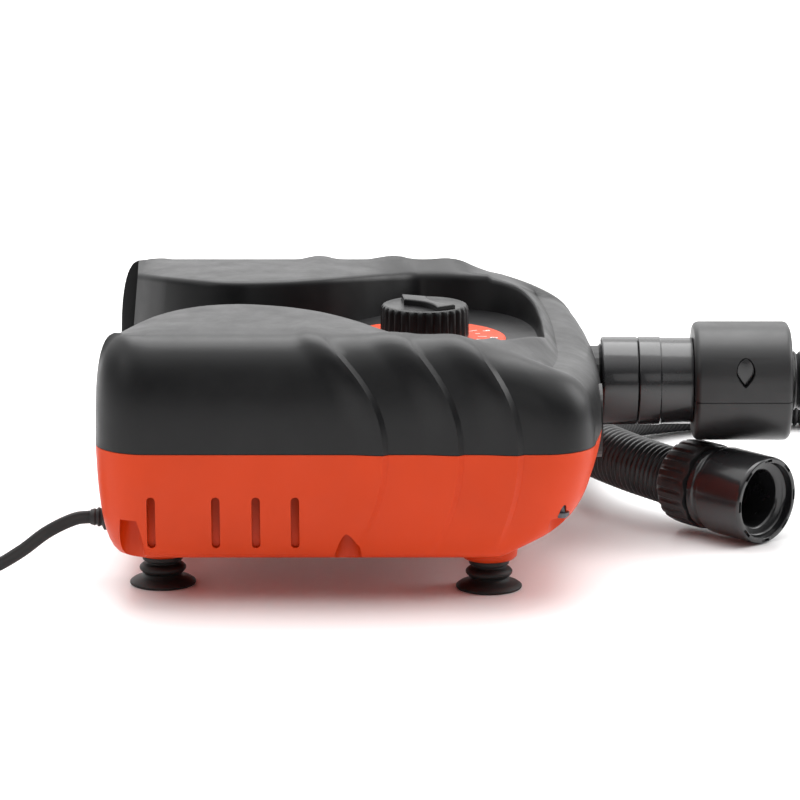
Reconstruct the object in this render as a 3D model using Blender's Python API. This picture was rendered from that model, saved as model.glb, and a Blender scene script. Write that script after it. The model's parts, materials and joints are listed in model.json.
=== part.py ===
"""A 12 V two-stage inflator: a broad case on four suction feet, with a dial in the valley between two pods.

X runs forwards to the hose port, Y to the far side and Z up. The shape is worked out in millimetres.
"""

import math

import bmesh
import bpy
from mathutils import Matrix, Vector

MM = 0.001
GAP = 0.3

# The case
HALF_WIDTH = 120.0
REAR_X = -122.3
FRONT_X = 122.5
PARTING = 76.0
LOWER_EDGE = PARTING - GAP
CREST = 129.2
UNDERSIDE = 22.0
WALL = 2.8
CORNER = 26.0
FRONT_BOW = 7.0
FRONT_CORNER_Y = 94.0
DECK = 106.0
MOUTH_X = -112.0
WALL_DRAFT = 3.0
SHOULDER = 15.0
BOSS_R = 9.0
WELL_R = 6.3
WELL_Y = 109.0
WELL_TOP = 46.0
WELL_XS = (-104.0, -2.0, 99.0)
CASE_SCREW_R = 1.8

# Side of the case: how far in from the outline, against the share of the height
UPPER_SIDE = (
    (0, 0), (0.5, 0.3), (1.3, 0.5), (2.6, 0.68), (4.6, 0.84), (7.5, 0.945), (11, 0.985), (SHOULDER, 1),
)
LOWER_SIDE = ((0, 0), (0.8, 0.3), (2, 0.52), (3.6, 0.7), (6, 0.85), (10, 0.96), (16, 1))

# The three ribs on each side: where each ends at the parting line
RIBS = (14.5, 50.0, 78.0)
RIB_RISE = 18.0
RIB_FALL = 2.6
RIB_DEPTH = 2.2

# The air slots on each side
VENT_XS = (-95.0, -64.5, -45.5, -27.0)
VENT_Z = 42.0
VENT_HEIGHT = 26.0

# The knob, the dial and the switch
KNOB_X = 34.7
KNOB_R = 22.0
KNOB_Z = 108.6
KNOB_HEIGHT = 16.0
KNOB_FLUTES = 30
DIAL_R = 40.3
SWITCH_X, SWITCH_Y = 78.2, -22.0
SWITCH_WIDE, SWITCH_LONG = 8.8, 13.8
LED_X, LED_Y = 84.0, -6.0

# The ports and the hose
PORT_Y, PORT_Z = 46.0, 76.0
PORT_R, PORT_BORE = 17.8, 14.0
HOSE_D = 30.0
LEAD_D = 6.5
LEAD_Y, LEAD_Z = -60.0, 31.0
LEAD_HOLE = 5.2
COUPLING_R = 22.4
COUPLING_END = 220.0

# The feet
FEET = {
    "rear_near": (-92.5, -68), "rear_far": (-92.5, 68), "front_near": (65.5, -76), "front_far": (65.5, 76),
}
FOOT_R = 16.0
FOOT_TOP = 14.6
PAD_Z = 15.0


for old in list(bpy.data.objects):
    bpy.data.objects.remove(old)


# ---------------------------------------------------------------- materials and small tools

def material(name, colour, roughness=0.45, metallic=0.0):
    found = bpy.data.materials.get(name)
    if found:
        return found
    made = bpy.data.materials.new(name)
    made.use_nodes = True
    shader = made.node_tree.nodes["Principled BSDF"]
    shader.inputs["Base Color"].default_value = (*colour, 1)
    shader.inputs["Roughness"].default_value = roughness
    shader.inputs["Metallic"].default_value = metallic
    return made


BLACK = material("black_plastic", (0.012, 0.012, 0.013), 0.38)
ORANGE = material("orange_plastic", (0.86, 0.115, 0.02), 0.42)
RUBBER = material("black_rubber", (0.015, 0.015, 0.016), 0.7)
STEEL = material("zinc_steel", (0.6, 0.6, 0.62), 0.3, 1.0)
CAN = material("motor_can", (0.5, 0.5, 0.52), 0.35, 1.0)
NYLON = material("white_nylon", (0.8, 0.8, 0.76), 0.5)
ALLOY = material("cast_aluminium", (0.62, 0.62, 0.62), 0.5, 1.0)
BOARD = material("circuit_board", (0.02, 0.16, 0.06), 0.5)
BRASS = material("plated_brass", (0.75, 0.6, 0.3), 0.3, 1.0)
RED = material("red_lens", (0.6, 0.01, 0.01), 0.2)


def smooth_through(knots, at):
    """A smooth curve through (x, y) knots in rising x that never overshoots them."""
    if at <= knots[0][0]:
        return knots[0][1]
    if at >= knots[-1][0]:
        return knots[-1][1]
    slopes = [(b[1] - a[1]) / (b[0] - a[0]) for a, b in zip(knots, knots[1:])]
    turns = [slopes[0]]
    for before, after in zip(slopes, slopes[1:]):
        turns.append(0 if before * after <= 0 else 2 * before * after / (before + after))
    turns.append(slopes[-1])
    for k, (a, b) in enumerate(zip(knots, knots[1:])):
        if at <= b[0]:
            width = b[0] - a[0]
            t = (at - a[0]) / width
            return (
                a[1] * (1 + 2 * t) * (1 - t) ** 2
                + b[1] * t * t * (3 - 2 * t)
                + width * (turns[k] * t * (1 - t) ** 2 - turns[k + 1] * t * t * (1 - t))
            )
    return knots[-1][1]


def make_object(name, mesh, look):
    made = bpy.data.objects.new(name, mesh)
    bpy.context.scene.collection.objects.link(made)
    made.data.materials.append(look)
    return made


def from_bmesh(name, shape, look, sharp=35):
    """An object from a bmesh in millimetres, with outward normals and smooth round faces."""
    bmesh.ops.recalc_face_normals(shape, faces=shape.faces)
    bmesh.ops.scale(shape, vec=(MM, MM, MM), verts=shape.verts)
    mesh = bpy.data.meshes.new(name)
    shape.to_mesh(mesh)
    shape.free()
    mesh.shade_smooth()
    mesh.set_sharp_from_angle(angle=math.radians(sharp))
    return make_object(name, mesh, look)


def from_faces(name, points, faces, look, sharp=35):
    shape = bmesh.new()
    made = [shape.verts.new(p) for p in points]
    for face in faces:
        shape.faces.new([made[k] for k in face])
    bmesh.ops.remove_doubles(shape, verts=shape.verts, dist=0.001)
    return from_bmesh(name, shape, look, sharp)


def turned(name, profile, look, at=(0, 0, 0), axis="Z", steps=32, sharp=35):
    """A turned piece: (radius, height) pairs, closed on the axis or, for a ring, on themselves."""
    shape = bmesh.new()
    rows = []
    for radius, height in profile:
        if radius < 1e-6:
            rows.append([shape.verts.new((0, 0, height))])
            continue
        angles = [2 * math.pi * k / steps for k in range(steps)]
        rows.append([shape.verts.new((radius * math.cos(a), radius * math.sin(a), height)) for a in angles])
    closed = len(rows[0]) > 1
    pairs = list(zip(rows, rows[1:])) + ([(rows[-1], rows[0])] if closed else [])
    for low, high in pairs:
        for k in range(steps):
            corners = [row[j % len(row)] for row, j in ((low, k), (low, k + 1), (high, k + 1), (high, k))]
            ring = list(dict.fromkeys(corners))
            if len(ring) > 2:
                shape.faces.new(ring)
    made = from_bmesh(name, shape, look, sharp)
    if axis == "X":
        made.data.transform(Matrix.Rotation(math.pi / 2, 4, "Y"))
    if axis == "Y":
        made.data.transform(Matrix.Rotation(-math.pi / 2, 4, "X"))
    made.location = Vector(at) * MM
    return made


def rod(name, radius, low, high, look, at=(0, 0, 0), axis="Z", steps=24):
    return turned(name, [(0, low), (radius, low), (radius, high), (0, high)], look, at, axis, steps)


def block(name, size, at, look, bevel=0.0, segments=2):
    shape = bmesh.new()
    bmesh.ops.create_cube(shape, size=1)
    bmesh.ops.scale(shape, vec=size, verts=shape.verts)
    if bevel:
        edges = shape.edges[:]
        bmesh.ops.bevel(shape, geom=edges, offset=bevel, segments=segments, profile=0.5, affect="EDGES")
    made = from_bmesh(name, shape, look)
    made.location = Vector(at) * MM
    return made


def extruded(name, outline, low, high, look, at=(0, 0, 0), turn=None):
    """A flat outline given as (x, y) points, extruded from one height to another."""
    shape = bmesh.new()
    face = shape.faces.new([shape.verts.new((x, y, low)) for x, y in outline])
    grown = bmesh.ops.extrude_face_region(shape, geom=[face])
    moved = [v for v in grown["geom"] if isinstance(v, bmesh.types.BMVert)]
    bmesh.ops.translate(shape, verts=moved, vec=(0, 0, high - low))
    made = from_bmesh(name, shape, look)
    if turn:
        made.data.transform(turn)
    made.location = Vector(at) * MM
    return made


def combine(target, other, how):
    """Cuts another object from the target or joins it on, and hides it as a helper."""
    modifier = target.modifiers.new(how.lower(), "BOOLEAN")
    modifier.operation = how
    modifier.solver = "EXACT"
    modifier.object = other
    other.hide_render = True
    other.display_type = "WIRE"
    return target


def cut(target, *others):
    for other in others:
        combine(target, other, "DIFFERENCE")


def join(target, *others):
    for other in others:
        combine(target, other, "UNION")


def placed(name, at):
    """An empty that stands on a joint's axis."""
    empty = bpy.data.objects.new(name, None)
    bpy.context.scene.collection.objects.link(empty)
    empty.location = Vector(at) * MM
    bpy.context.view_layer.update()
    return empty


def hang(piece, axis):
    """Parents a moving piece to its joint's empty, where it is."""
    piece.parent = axis
    piece.matrix_parent_inverse = axis.matrix_world.inverted()


# ---------------------------------------------------------------- the shape of the case

VALLEY = (
    (MOUTH_X, 76), (-103, 60), (-94, 47), (-82, 36), (-69, 29.5), (-56, 27.5), (-38, 31), (-18, 40.5),
    (2, 57), (18, 74), (34, 86), (60, 86),
)
RIB_LEAN = ((-96, 0), (-60, 8), (-20, 24), (14.5, 30.5), (50, 27), (78, 23), (90, 20))
NOSE = ((70, UNDERSIDE), (82, 28), (94, 34), (105, 42), (117, 53), (124, 60))
FRONT_RIM_Z = ((0, 112), (25, 114), (45, 118.5), (64, 122), (85, 123.4))
FRONT_SHOULDER_Z = ((0, 105.5), (45, 108.5), (90, 112.5))
VALLEY_FRONT = (60.0, 86.0, 2.7)
VALLEY_CENTRE_X = 34.0
POD_TOP, POD_FALL = 131.3, 0.0011


def rib_height(x):
    """How far a rib stands out at this place on the parting line."""
    for end in RIBS:
        if end - RIB_RISE < x <= end:
            t = (x - end + RIB_RISE) / RIB_RISE
            return RIB_DEPTH * t * t * (3 - 2 * t)
        if end < x < end + RIB_FALL:
            return RIB_DEPTH * (1 - (x - end) / RIB_FALL)
    return 0.0


def deck_height(x):
    """The valley floor, which falls away towards the open rear end."""
    return smooth_through(((MOUTH_X, 95), (-50, DECK), (100, DECK)), x)


def front_rim(angle):
    """The front end of the valley's rim, from its middle (0) to its side (90 degrees)."""
    reach, side, power = VALLEY_FRONT
    c, s = math.cos(angle) ** (2 / power), math.sin(angle) ** (2 / power)
    return VALLEY_CENTRE_X + reach * c, side * s


def outline_front(y):
    return FRONT_X - FRONT_BOW * (y / 95) ** 2.5


class Station:
    """One line across the half case: from the valley's rim out to the parting line."""

    def __init__(self, rim, rim_z, edge, inward, shoulder_z, lean=0.0, rib=0.0):
        self.rim, self.rim_z = Vector(rim), rim_z
        self.edge, self.inward = Vector(edge), Vector(inward).normalized()
        self.shoulder_z, self.lean, self.rib = shoulder_z, lean, rib


def stations(front, corner, side_xs, rear_corner, ribbed=True):
    """The half case's stations from its front middle round to the rear end of the pod."""
    found = []
    for k in range(front):
        y = FRONT_CORNER_Y * k / front
        angle = math.radians(48) * k / front
        rim = front_rim(angle) if k else (VALLEY_CENTRE_X + VALLEY_FRONT[0], 0)
        edge = (outline_front(y), y)
        shoulder = smooth_through(FRONT_SHOULDER_Z, y)
        found.append(Station(rim, smooth_through(FRONT_RIM_Z, rim[1]), edge, (-1, 0), shoulder))
    front_corner_x = outline_front(FRONT_CORNER_Y) - CORNER
    for k in range(corner):
        share = k / corner
        turn = math.pi / 2 * share
        rim = front_rim(math.radians(48 + 13 * share))
        out = Vector((math.cos(turn), math.sin(turn)))
        edge = Vector((front_corner_x, FRONT_CORNER_Y)) + out * CORNER
        shoulder = smooth_through(((0, 112.5), (0.35, 116), (0.7, 123), (1, 128.6)), share)
        lean = 20 * share**2
        found.append(Station(rim, smooth_through(FRONT_RIM_Z, rim[1]), edge, -out, shoulder, lean))
    for x in side_xs:
        lean = smooth_through(RIB_LEAN, x)
        rim_x = x - lean
        if rim_x > VALLEY_CENTRE_X:
            reach, side, power = VALLEY_FRONT
            across = min(1.0, (rim_x - VALLEY_CENTRE_X) / reach)
            rim_y = side * (1 - across**power) ** (1 / power)
        else:
            rim_y = smooth_through(VALLEY, rim_x)
        rib = rib_height(x) if ribbed else 0.0
        rim_z = POD_TOP - POD_FALL * rim_y**2
        found.append(Station((rim_x, rim_y), rim_z, (x, HALF_WIDTH), (0, -1), CREST, lean, rib))
    last_x = side_xs[-1]
    rear_corner_x = REAR_X + CORNER
    for k in range(1, rear_corner + 1):
        share = k / rear_corner
        turn = math.pi / 2 * (1 + share)
        rim_x = last_x + (MOUTH_X - last_x) * share
        rim = (rim_x, smooth_through(VALLEY, rim_x))
        out = Vector((math.cos(turn), math.sin(turn)))
        edge = Vector((rear_corner_x, HALF_WIDTH - CORNER)) + out * CORNER
        found.append(Station(rim, POD_TOP - POD_FALL * rim[1] ** 2, edge, -out, CREST))
    return found


def rim_normals(line):
    """For each station, the direction from the rim into the pod."""
    found = []
    for k, station in enumerate(line):
        before = line[max(k - 1, 0)].rim
        after = line[min(k + 1, len(line) - 1)].rim
        along = after - before
        if k == 0:
            along = Vector((0, 1))
        found.append(Vector((along.y, -along.x)).normalized() * (1 if along.length else 0))
    return found


def side_points(station, top, floor_z, inset, profile):
    """The side of the case at one station, from the parting line to its shoulder."""
    reach = (station.edge - station.rim).length - 2 * inset
    squeeze = min(1.0, reach / (SHOULDER + 4))
    points = []
    for inward, share in profile:
        along = inset + inward * squeeze
        fade = 1.0 if share < 0.9 else 1.0 - 0.15 * (share - 0.9) / 0.1
        place = station.edge + station.inward * (along - station.rib * fade)
        place = place - Vector((station.lean * share**2.2, 0))
        points.append((place.x, place.y, floor_z + share * (top - floor_z)))
    return points


def upper_section(station, normal, inset, profile):
    """Points from the parting line up over the pod, down the valley's wall and across to the middle."""
    top = station.shoulder_z - inset + station.rib * 0.85
    points = side_points(station, top, PARTING, inset, profile)
    shoulder = Vector(points[-1])
    rim = station.rim + normal * inset
    foot = rim - normal * WALL_DRAFT
    floor = deck_height(station.rim.x) - inset
    rim_top = Vector((rim.x, rim.y, station.rim_z - inset))
    for share in (0.35, 0.72):
        points.append(tuple(shoulder.lerp(rim_top, share)))
    points.append(tuple(rim_top))
    points.append((foot.x, foot.y, floor))
    return points


FLOOR_SHARES = (0.75, 0.5, 0.25, 0.0)


def grid(rows):
    """(points, faces) of a grid of equally long rows."""
    count = len(rows[0])
    points = [p for row in rows for p in row]
    faces = []
    for k in range(len(rows) - 1):
        for j in range(count - 1):
            a = k * count + j
            faces.append((a, a + 1, a + count + 1, a + count))
    return points, faces


def joined_grids(*parts):
    points, faces = [], []
    for some, sides in parts:
        base = len(points)
        points += some
        faces += [tuple(k + base for k in side) for side in sides]
    return points, faces


def upper_surface(line, inset, profile):
    """(points, faces) of the half upper surface down to the parting line."""
    rows = [upper_section(s, n, inset, profile) for s, n in zip(line, rim_normals(line))]
    feet = [row[-1] for row in rows]
    # Across the open rear end of the valley, the floor runs out to the rear face.
    last = line[-1]
    squeeze = min(1.0, ((last.edge - last.rim).length - 2 * inset) / (SHOULDER + 4))
    floor = deck_height(MOUTH_X) - inset
    for share in (1.0, *FLOOR_SHARES):
        y = (last.edge.y - WALL_DRAFT) * share
        row = [(REAR_X + inset + d * squeeze, y, PARTING + part * (floor - PARTING)) for d, part in profile]
        start = Vector(row[-1])
        end = Vector((feet[-1][0], feet[-1][1] * share, floor))
        row += [tuple(start.lerp(end, part)) for part in (0.35, 0.72, 0.9, 1.0)]
        rows.append(row)
    # The valley floor runs from the foot of its wall to the middle.
    deck = [[(x, y * share, z) for share in (1.0, *FLOOR_SHARES)] for x, y, z in feet]
    return joined_grids(grid(rows), grid(deck))


def mirrored(points, faces):
    count = len(points)
    both = points + [(x, -y, z) for x, y, z in points]
    return both, faces + [tuple(k + count for k in reversed(face)) for face in faces]


def closed_case(name, points, faces, cap_z, look):
    """A solid from an open surface whose edge all lies at one height."""
    shape = bmesh.new()
    made = [shape.verts.new(p) for p in points]
    for face in faces:
        corners = [made[k] for k in face]
        if len(set(corners)) == len(corners):
            shape.faces.new(corners)
    bmesh.ops.remove_doubles(shape, verts=shape.verts, dist=0.02)
    bmesh.ops.dissolve_degenerate(shape, edges=shape.edges, dist=0.01)
    rim = [edge for edge in shape.edges if edge.is_boundary]
    if abs(rim[0].verts[0].co.z - cap_z) > GAP:
        grown = bmesh.ops.extrude_edge_only(shape, edges=rim)["geom"]
        for vert in [v for v in grown if isinstance(v, bmesh.types.BMVert)]:
            vert.co.z = cap_z
        rim = [e for e in grown if isinstance(e, bmesh.types.BMEdge)]
    bmesh.ops.contextual_create(shape, geom=rim)
    return from_bmesh(name, shape, look, 28)


SIDE_XS = (
    88, 80.6, 78, 74, 69, 64, 60, 56, 52.6, 50, 46, 41, 36, 32, 25, 17.1, 14.5, 10.5, 5.5, 0, -3.5,
    -12, -22, -34, -46, -58, -70, -82, -95,
)
INSIDE_XS = (88, 78, 68, 57, 46, 34, 22, 10, -2, -14, -28, -44, -60, -77, -95)
INSIDE_UPPER = tuple(UPPER_SIDE[k] for k in (0, 2, 4, 6, 7))
INSIDE_LOWER = tuple(LOWER_SIDE[k] for k in (0, 2, 4, 6))


def outside_line():
    return stations(9, 6, SIDE_XS, 6)


def inside_line():
    return stations(8, 4, INSIDE_XS, 4, ribbed=False)


def upper_solid(name, line, inset, profile, cap_z):
    points, faces = mirrored(*upper_surface(line, inset, profile))
    return closed_case(name, points, faces, cap_z, BLACK)


def underside_height(x):
    return smooth_through(NOSE, x)


def lower_surface(line, inset, profile):
    """(points, faces) of the half underside, from the parting line down and in to the middle."""
    rows = []
    for station in line:
        row = []
        for inward, share in profile:
            place = station.edge + station.inward * (inset + inward - station.rib * (1 - share**3))
            place = place - Vector((station.lean * 0.62 * share**2, 0))
            floor = underside_height(place.x) + inset
            row.append((place.x, place.y, LOWER_EDGE + share * (floor - LOWER_EDGE)))
        x, y, _ = row[-1]
        row += [(x, y * share, underside_height(x) + inset) for share in FLOOR_SHARES]
        rows.append(row)
    points, faces = grid(rows)
    rear = line[-1]
    ends = [rows[-1][: len(profile)]]
    for k, share in enumerate(FLOOR_SHARES):
        y = rear.edge.y * share
        depth = UNDERSIDE + inset - LOWER_EDGE
        row = [(REAR_X + inset + inward, y, LOWER_EDGE + part * depth) for inward, part in profile]
        row[-1] = rows[-1][len(profile) + k]
        ends.append(row)
    return joined_grids((points, faces), grid(ends))


def lower_solid(name, line, inset, profile, cap_z):
    points, faces = mirrored(*lower_surface(line, inset, profile))
    return closed_case(name, points, faces, cap_z, ORANGE)


# ---------------------------------------------------------------- the two shells

def screw_boss(name, x, y, low, high):
    return rod(name, BOSS_R, low, high, BLACK, (x, y, 0))


def upper_shell():
    shell = upper_solid("upper_shell", outside_line(), 0.0, UPPER_SIDE, PARTING)
    hollow = upper_solid("upper_hollow", inside_line(), WALL, INSIDE_UPPER, PARTING - 2)
    for side in (-1, 1):
        for k, x in enumerate(WELL_XS):
            cut(hollow, screw_boss(f"post_{k}{side}", x, side * WELL_Y, PARTING - 5, 140))
    cut(shell, hollow)
    for side in (-1, 1):
        for k, x in enumerate(WELL_XS):
            bore = CASE_SCREW_R + GAP
            cut(shell, rod(f"post_bore_{k}{side}", bore, 60, 98, BLACK, (x, side * WELL_Y, 0), "Z", 12))
    port = rod("port_hole_above", PORT_R + 0.5, 88, 140, BLACK, (0, PORT_Y, PORT_Z), "X", 32)
    inlet = rod("inlet_hole_above", PORT_R + 0.5, 88, 140, BLACK, (0, -PORT_Y, PORT_Z), "X", 32)
    shaft = rod("shaft_hole", 4.2, 90, 115, BLACK, (KNOB_X, 0, 0))
    opening = (SWITCH_WIDE + 2 * GAP, SWITCH_LONG + 2 * GAP, 20)
    window = block("switch_window", opening, (SWITCH_X, SWITCH_Y, DECK), BLACK)
    lens = rod("led_hole", 1.9, 90, 130, BLACK, (LED_X, LED_Y, 0), "Z", 16)
    cut(shell, port, inlet, shaft, window, lens)
    return shell


def vent_slot(name, x, z, height, y):
    """A round-ended slot through the side wall."""
    width = 4.0
    outline = []
    for turn, lift in ((0, 1), (math.pi, -1)):
        for k in range(7):
            a = turn + math.pi * k / 6
            outline.append((width / 2 * math.cos(a), lift * (height - width) / 2 + width / 2 * math.sin(a)))
    return extruded(name, outline, -8, 8, ORANGE, (x, y, z), Matrix.Rotation(math.pi / 2, 4, "X"))


def lower_shell():
    shell = lower_solid("lower_shell", outside_line(), 0.0, LOWER_SIDE, LOWER_EDGE)
    hollow = lower_solid("lower_hollow", inside_line(), WALL, INSIDE_LOWER, PARTING + 2)
    for side in (-1, 1):
        for k, x in enumerate(WELL_XS):
            cut(hollow, screw_boss(f"well_boss_{k}{side}", x, side * WELL_Y, 10, PARTING + 5))
    for name, (x, y) in FEET.items():
        cut(hollow, rod(f"pad_core_{name}", 6.5, 10, UNDERSIDE + 12, ORANGE, (x, y, 0)))
    cut(shell, hollow)
    for name, (x, y) in FEET.items():
        top = underside_height(x) + 1.5
        pad = [(0, PAD_Z), (12.2, PAD_Z), (13.4, PAD_Z + 1.2), (14.5, top), (0, top)]
        join(shell, turned(f"pad_{name}", pad, ORANGE, (x, y, 0)))
        cut(shell, rod(f"pad_bore_{name}", 1.7, 5, UNDERSIDE + 10, ORANGE, (x, y, 0), "Z", 16))
    for side in (-1, 1):
        for k, x in enumerate(WELL_XS):
            steps = [(0, 0), (WELL_R, 0), (WELL_R, WELL_TOP), (2.2, WELL_TOP), (2.2, 90), (0, 90)]
            cut(shell, turned(f"well_{k}{side}", steps, ORANGE, (x, side * WELL_Y, 0), steps=20))
        for k, x in enumerate(VENT_XS):
            cut(shell, vent_slot(f"vent_{k}{side}", x, VENT_Z, VENT_HEIGHT, side * 116))
    port = rod("port_hole_below", PORT_R + 0.5, 88, 140, BLACK, (0, PORT_Y, PORT_Z), "X", 32)
    inlet = rod("inlet_hole_below", PORT_R + 0.5, 88, 140, BLACK, (0, -PORT_Y, PORT_Z), "X", 32)
    lead = rod("lead_hole", LEAD_HOLE, -135, -100, BLACK, (0, LEAD_Y, LEAD_Z), "X", 20)
    cut(shell, port, inlet, lead)
    return shell


def pipe(name, route, outer, bore, look, steps=16):
    """A hollow tube along a list of points, with square ends."""
    points = [Vector(p) for p in route]
    rings = []
    for k, point in enumerate(points):
        along = (points[min(k + 1, len(points) - 1)] - points[max(k - 1, 0)]).normalized()
        side = along.cross(Vector((0, 0, 1))).normalized()
        rise = side.cross(along)
        rings.append((point, side, rise))

    def ring(at, radius):
        point, side, rise = at
        angles = [2 * math.pi * k / steps for k in range(steps)]
        return [tuple(point + radius * (math.cos(a) * side + math.sin(a) * rise)) for a in angles]

    rows = [ring(r, outer) for r in rings] + [ring(r, bore) for r in reversed(rings)]
    rows.append(rows[0])
    verts, faces = grid([row + [row[0]] for row in rows])
    return from_faces(name, verts, faces, look)


def smooth_route(points, spacing):
    """Points at even spacing along a smooth curve through the route's own points."""
    points = [Vector(p) for p in points]
    ends = [2 * points[0] - points[1], *points, 2 * points[-1] - points[-2]]
    fine = []
    for a, b, c, d in zip(ends, ends[1:], ends[2:], ends[3:]):
        for k in range(24):
            t = k / 24
            bend = (2 * a - 5 * b + 4 * c - d) * t**2 + (3 * b - a - 3 * c + d) * t**3
            fine.append(0.5 * (2 * b + (c - a) * t + bend))
    fine.append(points[-1])
    reach = [0.0]
    for a, b in zip(fine, fine[1:]):
        reach.append(reach[-1] + (b - a).length)
    count = max(2, round(reach[-1] / spacing))
    found = []
    k = 0
    for step in range(count + 1):
        want = reach[-1] * step / count
        while k < len(reach) - 2 and reach[k + 1] < want:
            k += 1
        share = (want - reach[k]) / (reach[k + 1] - reach[k])
        found.append(fine[k].lerp(fine[k + 1], min(1.0, share)))
    return found


def cord(name, route, diameter, look):
    """A cord's plain tube: a poly spline with a round bevel and filled ends."""
    points = smooth_route(route, 2.5 * diameter)
    curve = bpy.data.curves.new(name, "CURVE")
    curve.dimensions = "3D"
    curve.bevel_depth = diameter / 2 * MM
    curve.bevel_resolution = 2
    curve.use_fill_caps = True
    spline = curve.splines.new("POLY")
    spline.points.add(len(points) - 1)
    for knot, point in zip(spline.points, points):
        knot.co = (*(point * MM), 1)
    return make_object(name, curve, look)


# ---------------------------------------------------------------- the dial, the knob and the switch

def dial_and_knob():
    low, high = DECK + GAP, DECK + 2.0
    plate = [(8, low), (DIAL_R, low), (DIAL_R, high - 0.4), (DIAL_R - 0.8, high), (8, high)]
    turned("dial_plate", plate, ORANGE, (KNOB_X, 0, 0), steps=48)
    axis = placed("knob_axis", (KNOB_X, 0, KNOB_Z))
    outline = []
    for k in range(KNOB_FLUTES * 3):
        radius = KNOB_R - (1.1 if k % 3 == 0 else 0.0)
        turn = 2 * math.pi * k / (KNOB_FLUTES * 3)
        outline.append((radius * math.cos(turn), radius * math.sin(turn)))
    knob = extruded("pressure_knob", outline, KNOB_Z, KNOB_Z + KNOB_HEIGHT, BLACK, (KNOB_X, 0, 0))
    hang(knob, axis)
    top = KNOB_Z + KNOB_HEIGHT
    arrow = [(-17, -2.6), (14, -3.4), (20, 0), (14, 3.4), (-17, 2.6)]
    bar = extruded("knob_bar", arrow, top - 1, top + 2.2, BLACK, (KNOB_X, 0, 0))
    join(knob, bar)
    cut(knob, rod("knob_socket", 3.3, KNOB_Z - 5, KNOB_Z + 9.6, BLACK, (KNOB_X, 0, 0)))
    shaft = rod("knob_shaft", 3.0, 95.5, KNOB_Z + 9.2, STEEL, (KNOB_X, 0, 0), steps=20)
    hang(shaft, axis)
    regulator = [(0, 86), (9, 86), (9, 101), (5, 101), (5, 102.6), (3.4, 102.6), (3.4, 95), (0, 95)]
    turned("pressure_regulator", regulator, ALLOY, (KNOB_X, 0, 0), steps=24)


def switch():
    at = (SWITCH_X, SWITCH_Y, 104.5)
    body = block("switch_housing", (SWITCH_WIDE, SWITCH_LONG, 17), (SWITCH_X, SWITCH_Y, 99.2), BLACK)
    rim_at = (SWITCH_X, SWITCH_Y, DECK + GAP + 1.0)
    join(body, block("switch_rim", (SWITCH_WIDE + 2, SWITCH_LONG + 2, 2.0), rim_at, BLACK, 0.5, 1))
    cut(body, block("switch_pocket", (6.4, 12.0, 20), (SWITCH_X, SWITCH_Y, 108), BLACK))
    axis = placed("switch_axis", at)
    end = [(3.6, -5), (4.9, 1), (4.9, 5.6), (2.5, 4.4)]
    side = end + [(0, 3.9)] + [(-x, y) for x, y in reversed(end)]
    stand = Matrix.Rotation(math.pi / 2, 4, "Z") @ Matrix.Rotation(math.pi / 2, 4, "X")
    rocker = extruded("switch_rocker", side, -2.8, 2.8, BLACK, at, stand)
    hang(rocker, axis)
    lens = [(0, 99), (1.6, 99), (1.6, DECK + 0.9), (1.1, DECK + 1.6), (0, DECK + 1.9)]
    turned("power_lamp", lens, RED, (LED_X, LED_Y, 0), steps=16)


# ---------------------------------------------------------------- feet and screws

def feet():
    cup = [(3.6, 0), (FOOT_R - 0.8, 0), (FOOT_R, 0.7), (FOOT_R, 1.6), (13.6, 3.4), (9.4, 4.8), (8.6, 5.8)]
    ring = [(10.6, 6.8), (11.3, 8.1), (10.6, 9.4), (8.0, 10.2), (7.8, 11.0)]
    neck = [(9.8, 12.0), (9.8, FOOT_TOP), (1.75, FOOT_TOP), (1.75, 5), (3.6, 5)]
    profile = cup + ring + neck
    for name, (x, y) in FEET.items():
        turned(f"foot_{name}", profile, RUBBER, (x, y, 0), steps=18)
        screw = [(0, 1.4), (2.9, 1.4), (3.2, 2.2), (3.2, 4.6), (1.4, 4.6), (1.4, 29), (0, 29.6)]
        turned(f"foot_screw_{name}", screw, STEEL, (x, y, 0), steps=12)


def case_screws():
    names = ("rear", "middle", "front")
    head = WELL_TOP - 0.3
    profile = [(0, head - 2.6), (2.6, head - 2.6), (3.7, head - 1.6), (3.7, head), (CASE_SCREW_R, head),
               (CASE_SCREW_R, 94), (0, 95)]
    for side, where in ((-1, "near"), (1, "far")):
        for name, x in zip(names, WELL_XS):
            turned(f"case_screw_{name}_{where}", profile, STEEL, (x, side * WELL_Y, 0), steps=12)


# ---------------------------------------------------------------- the ports

def ports():
    low = 100
    spigot = [(PORT_BORE, low), (PORT_R + 2.6, low), (PORT_R + 2.6, low + 3), (PORT_R, low + 3)]
    for x in (124.0, 128.0, 132.0):
        spigot += [(PORT_R, x - 0.9), (PORT_R + 0.8, x), (PORT_R, x + 0.9)]
    spigot += [(PORT_R, 138), (PORT_BORE, 138)]
    turned("outlet_spigot", spigot, BLACK, (0, PORT_Y, PORT_Z), "X", 28)
    flange = [(PORT_BORE, 104), (PORT_R + 2.6, 104), (PORT_R + 2.6, 107)]
    inlet = flange + [(PORT_R, 107), (PORT_R, 120.6), (PORT_BORE, 120.6)]
    turned("inlet_port", inlet, BLACK, (0, -PORT_Y, PORT_Z), "X", 32)
    manifold = [(11.4, 84), (19, 84), (19, 99.6), (16, 99.6), (16, 86.4), (11.4, 86.4)]
    turned("outlet_manifold", manifold, NYLON, (0, PORT_Y, PORT_Z), "X", 28)


# ---------------------------------------------------------------- the blower, in the far pod

FAN_X, FAN_Z = -52.0, 74.0
FAN_R = 36.0
DUCT_Y = 77.0


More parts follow.
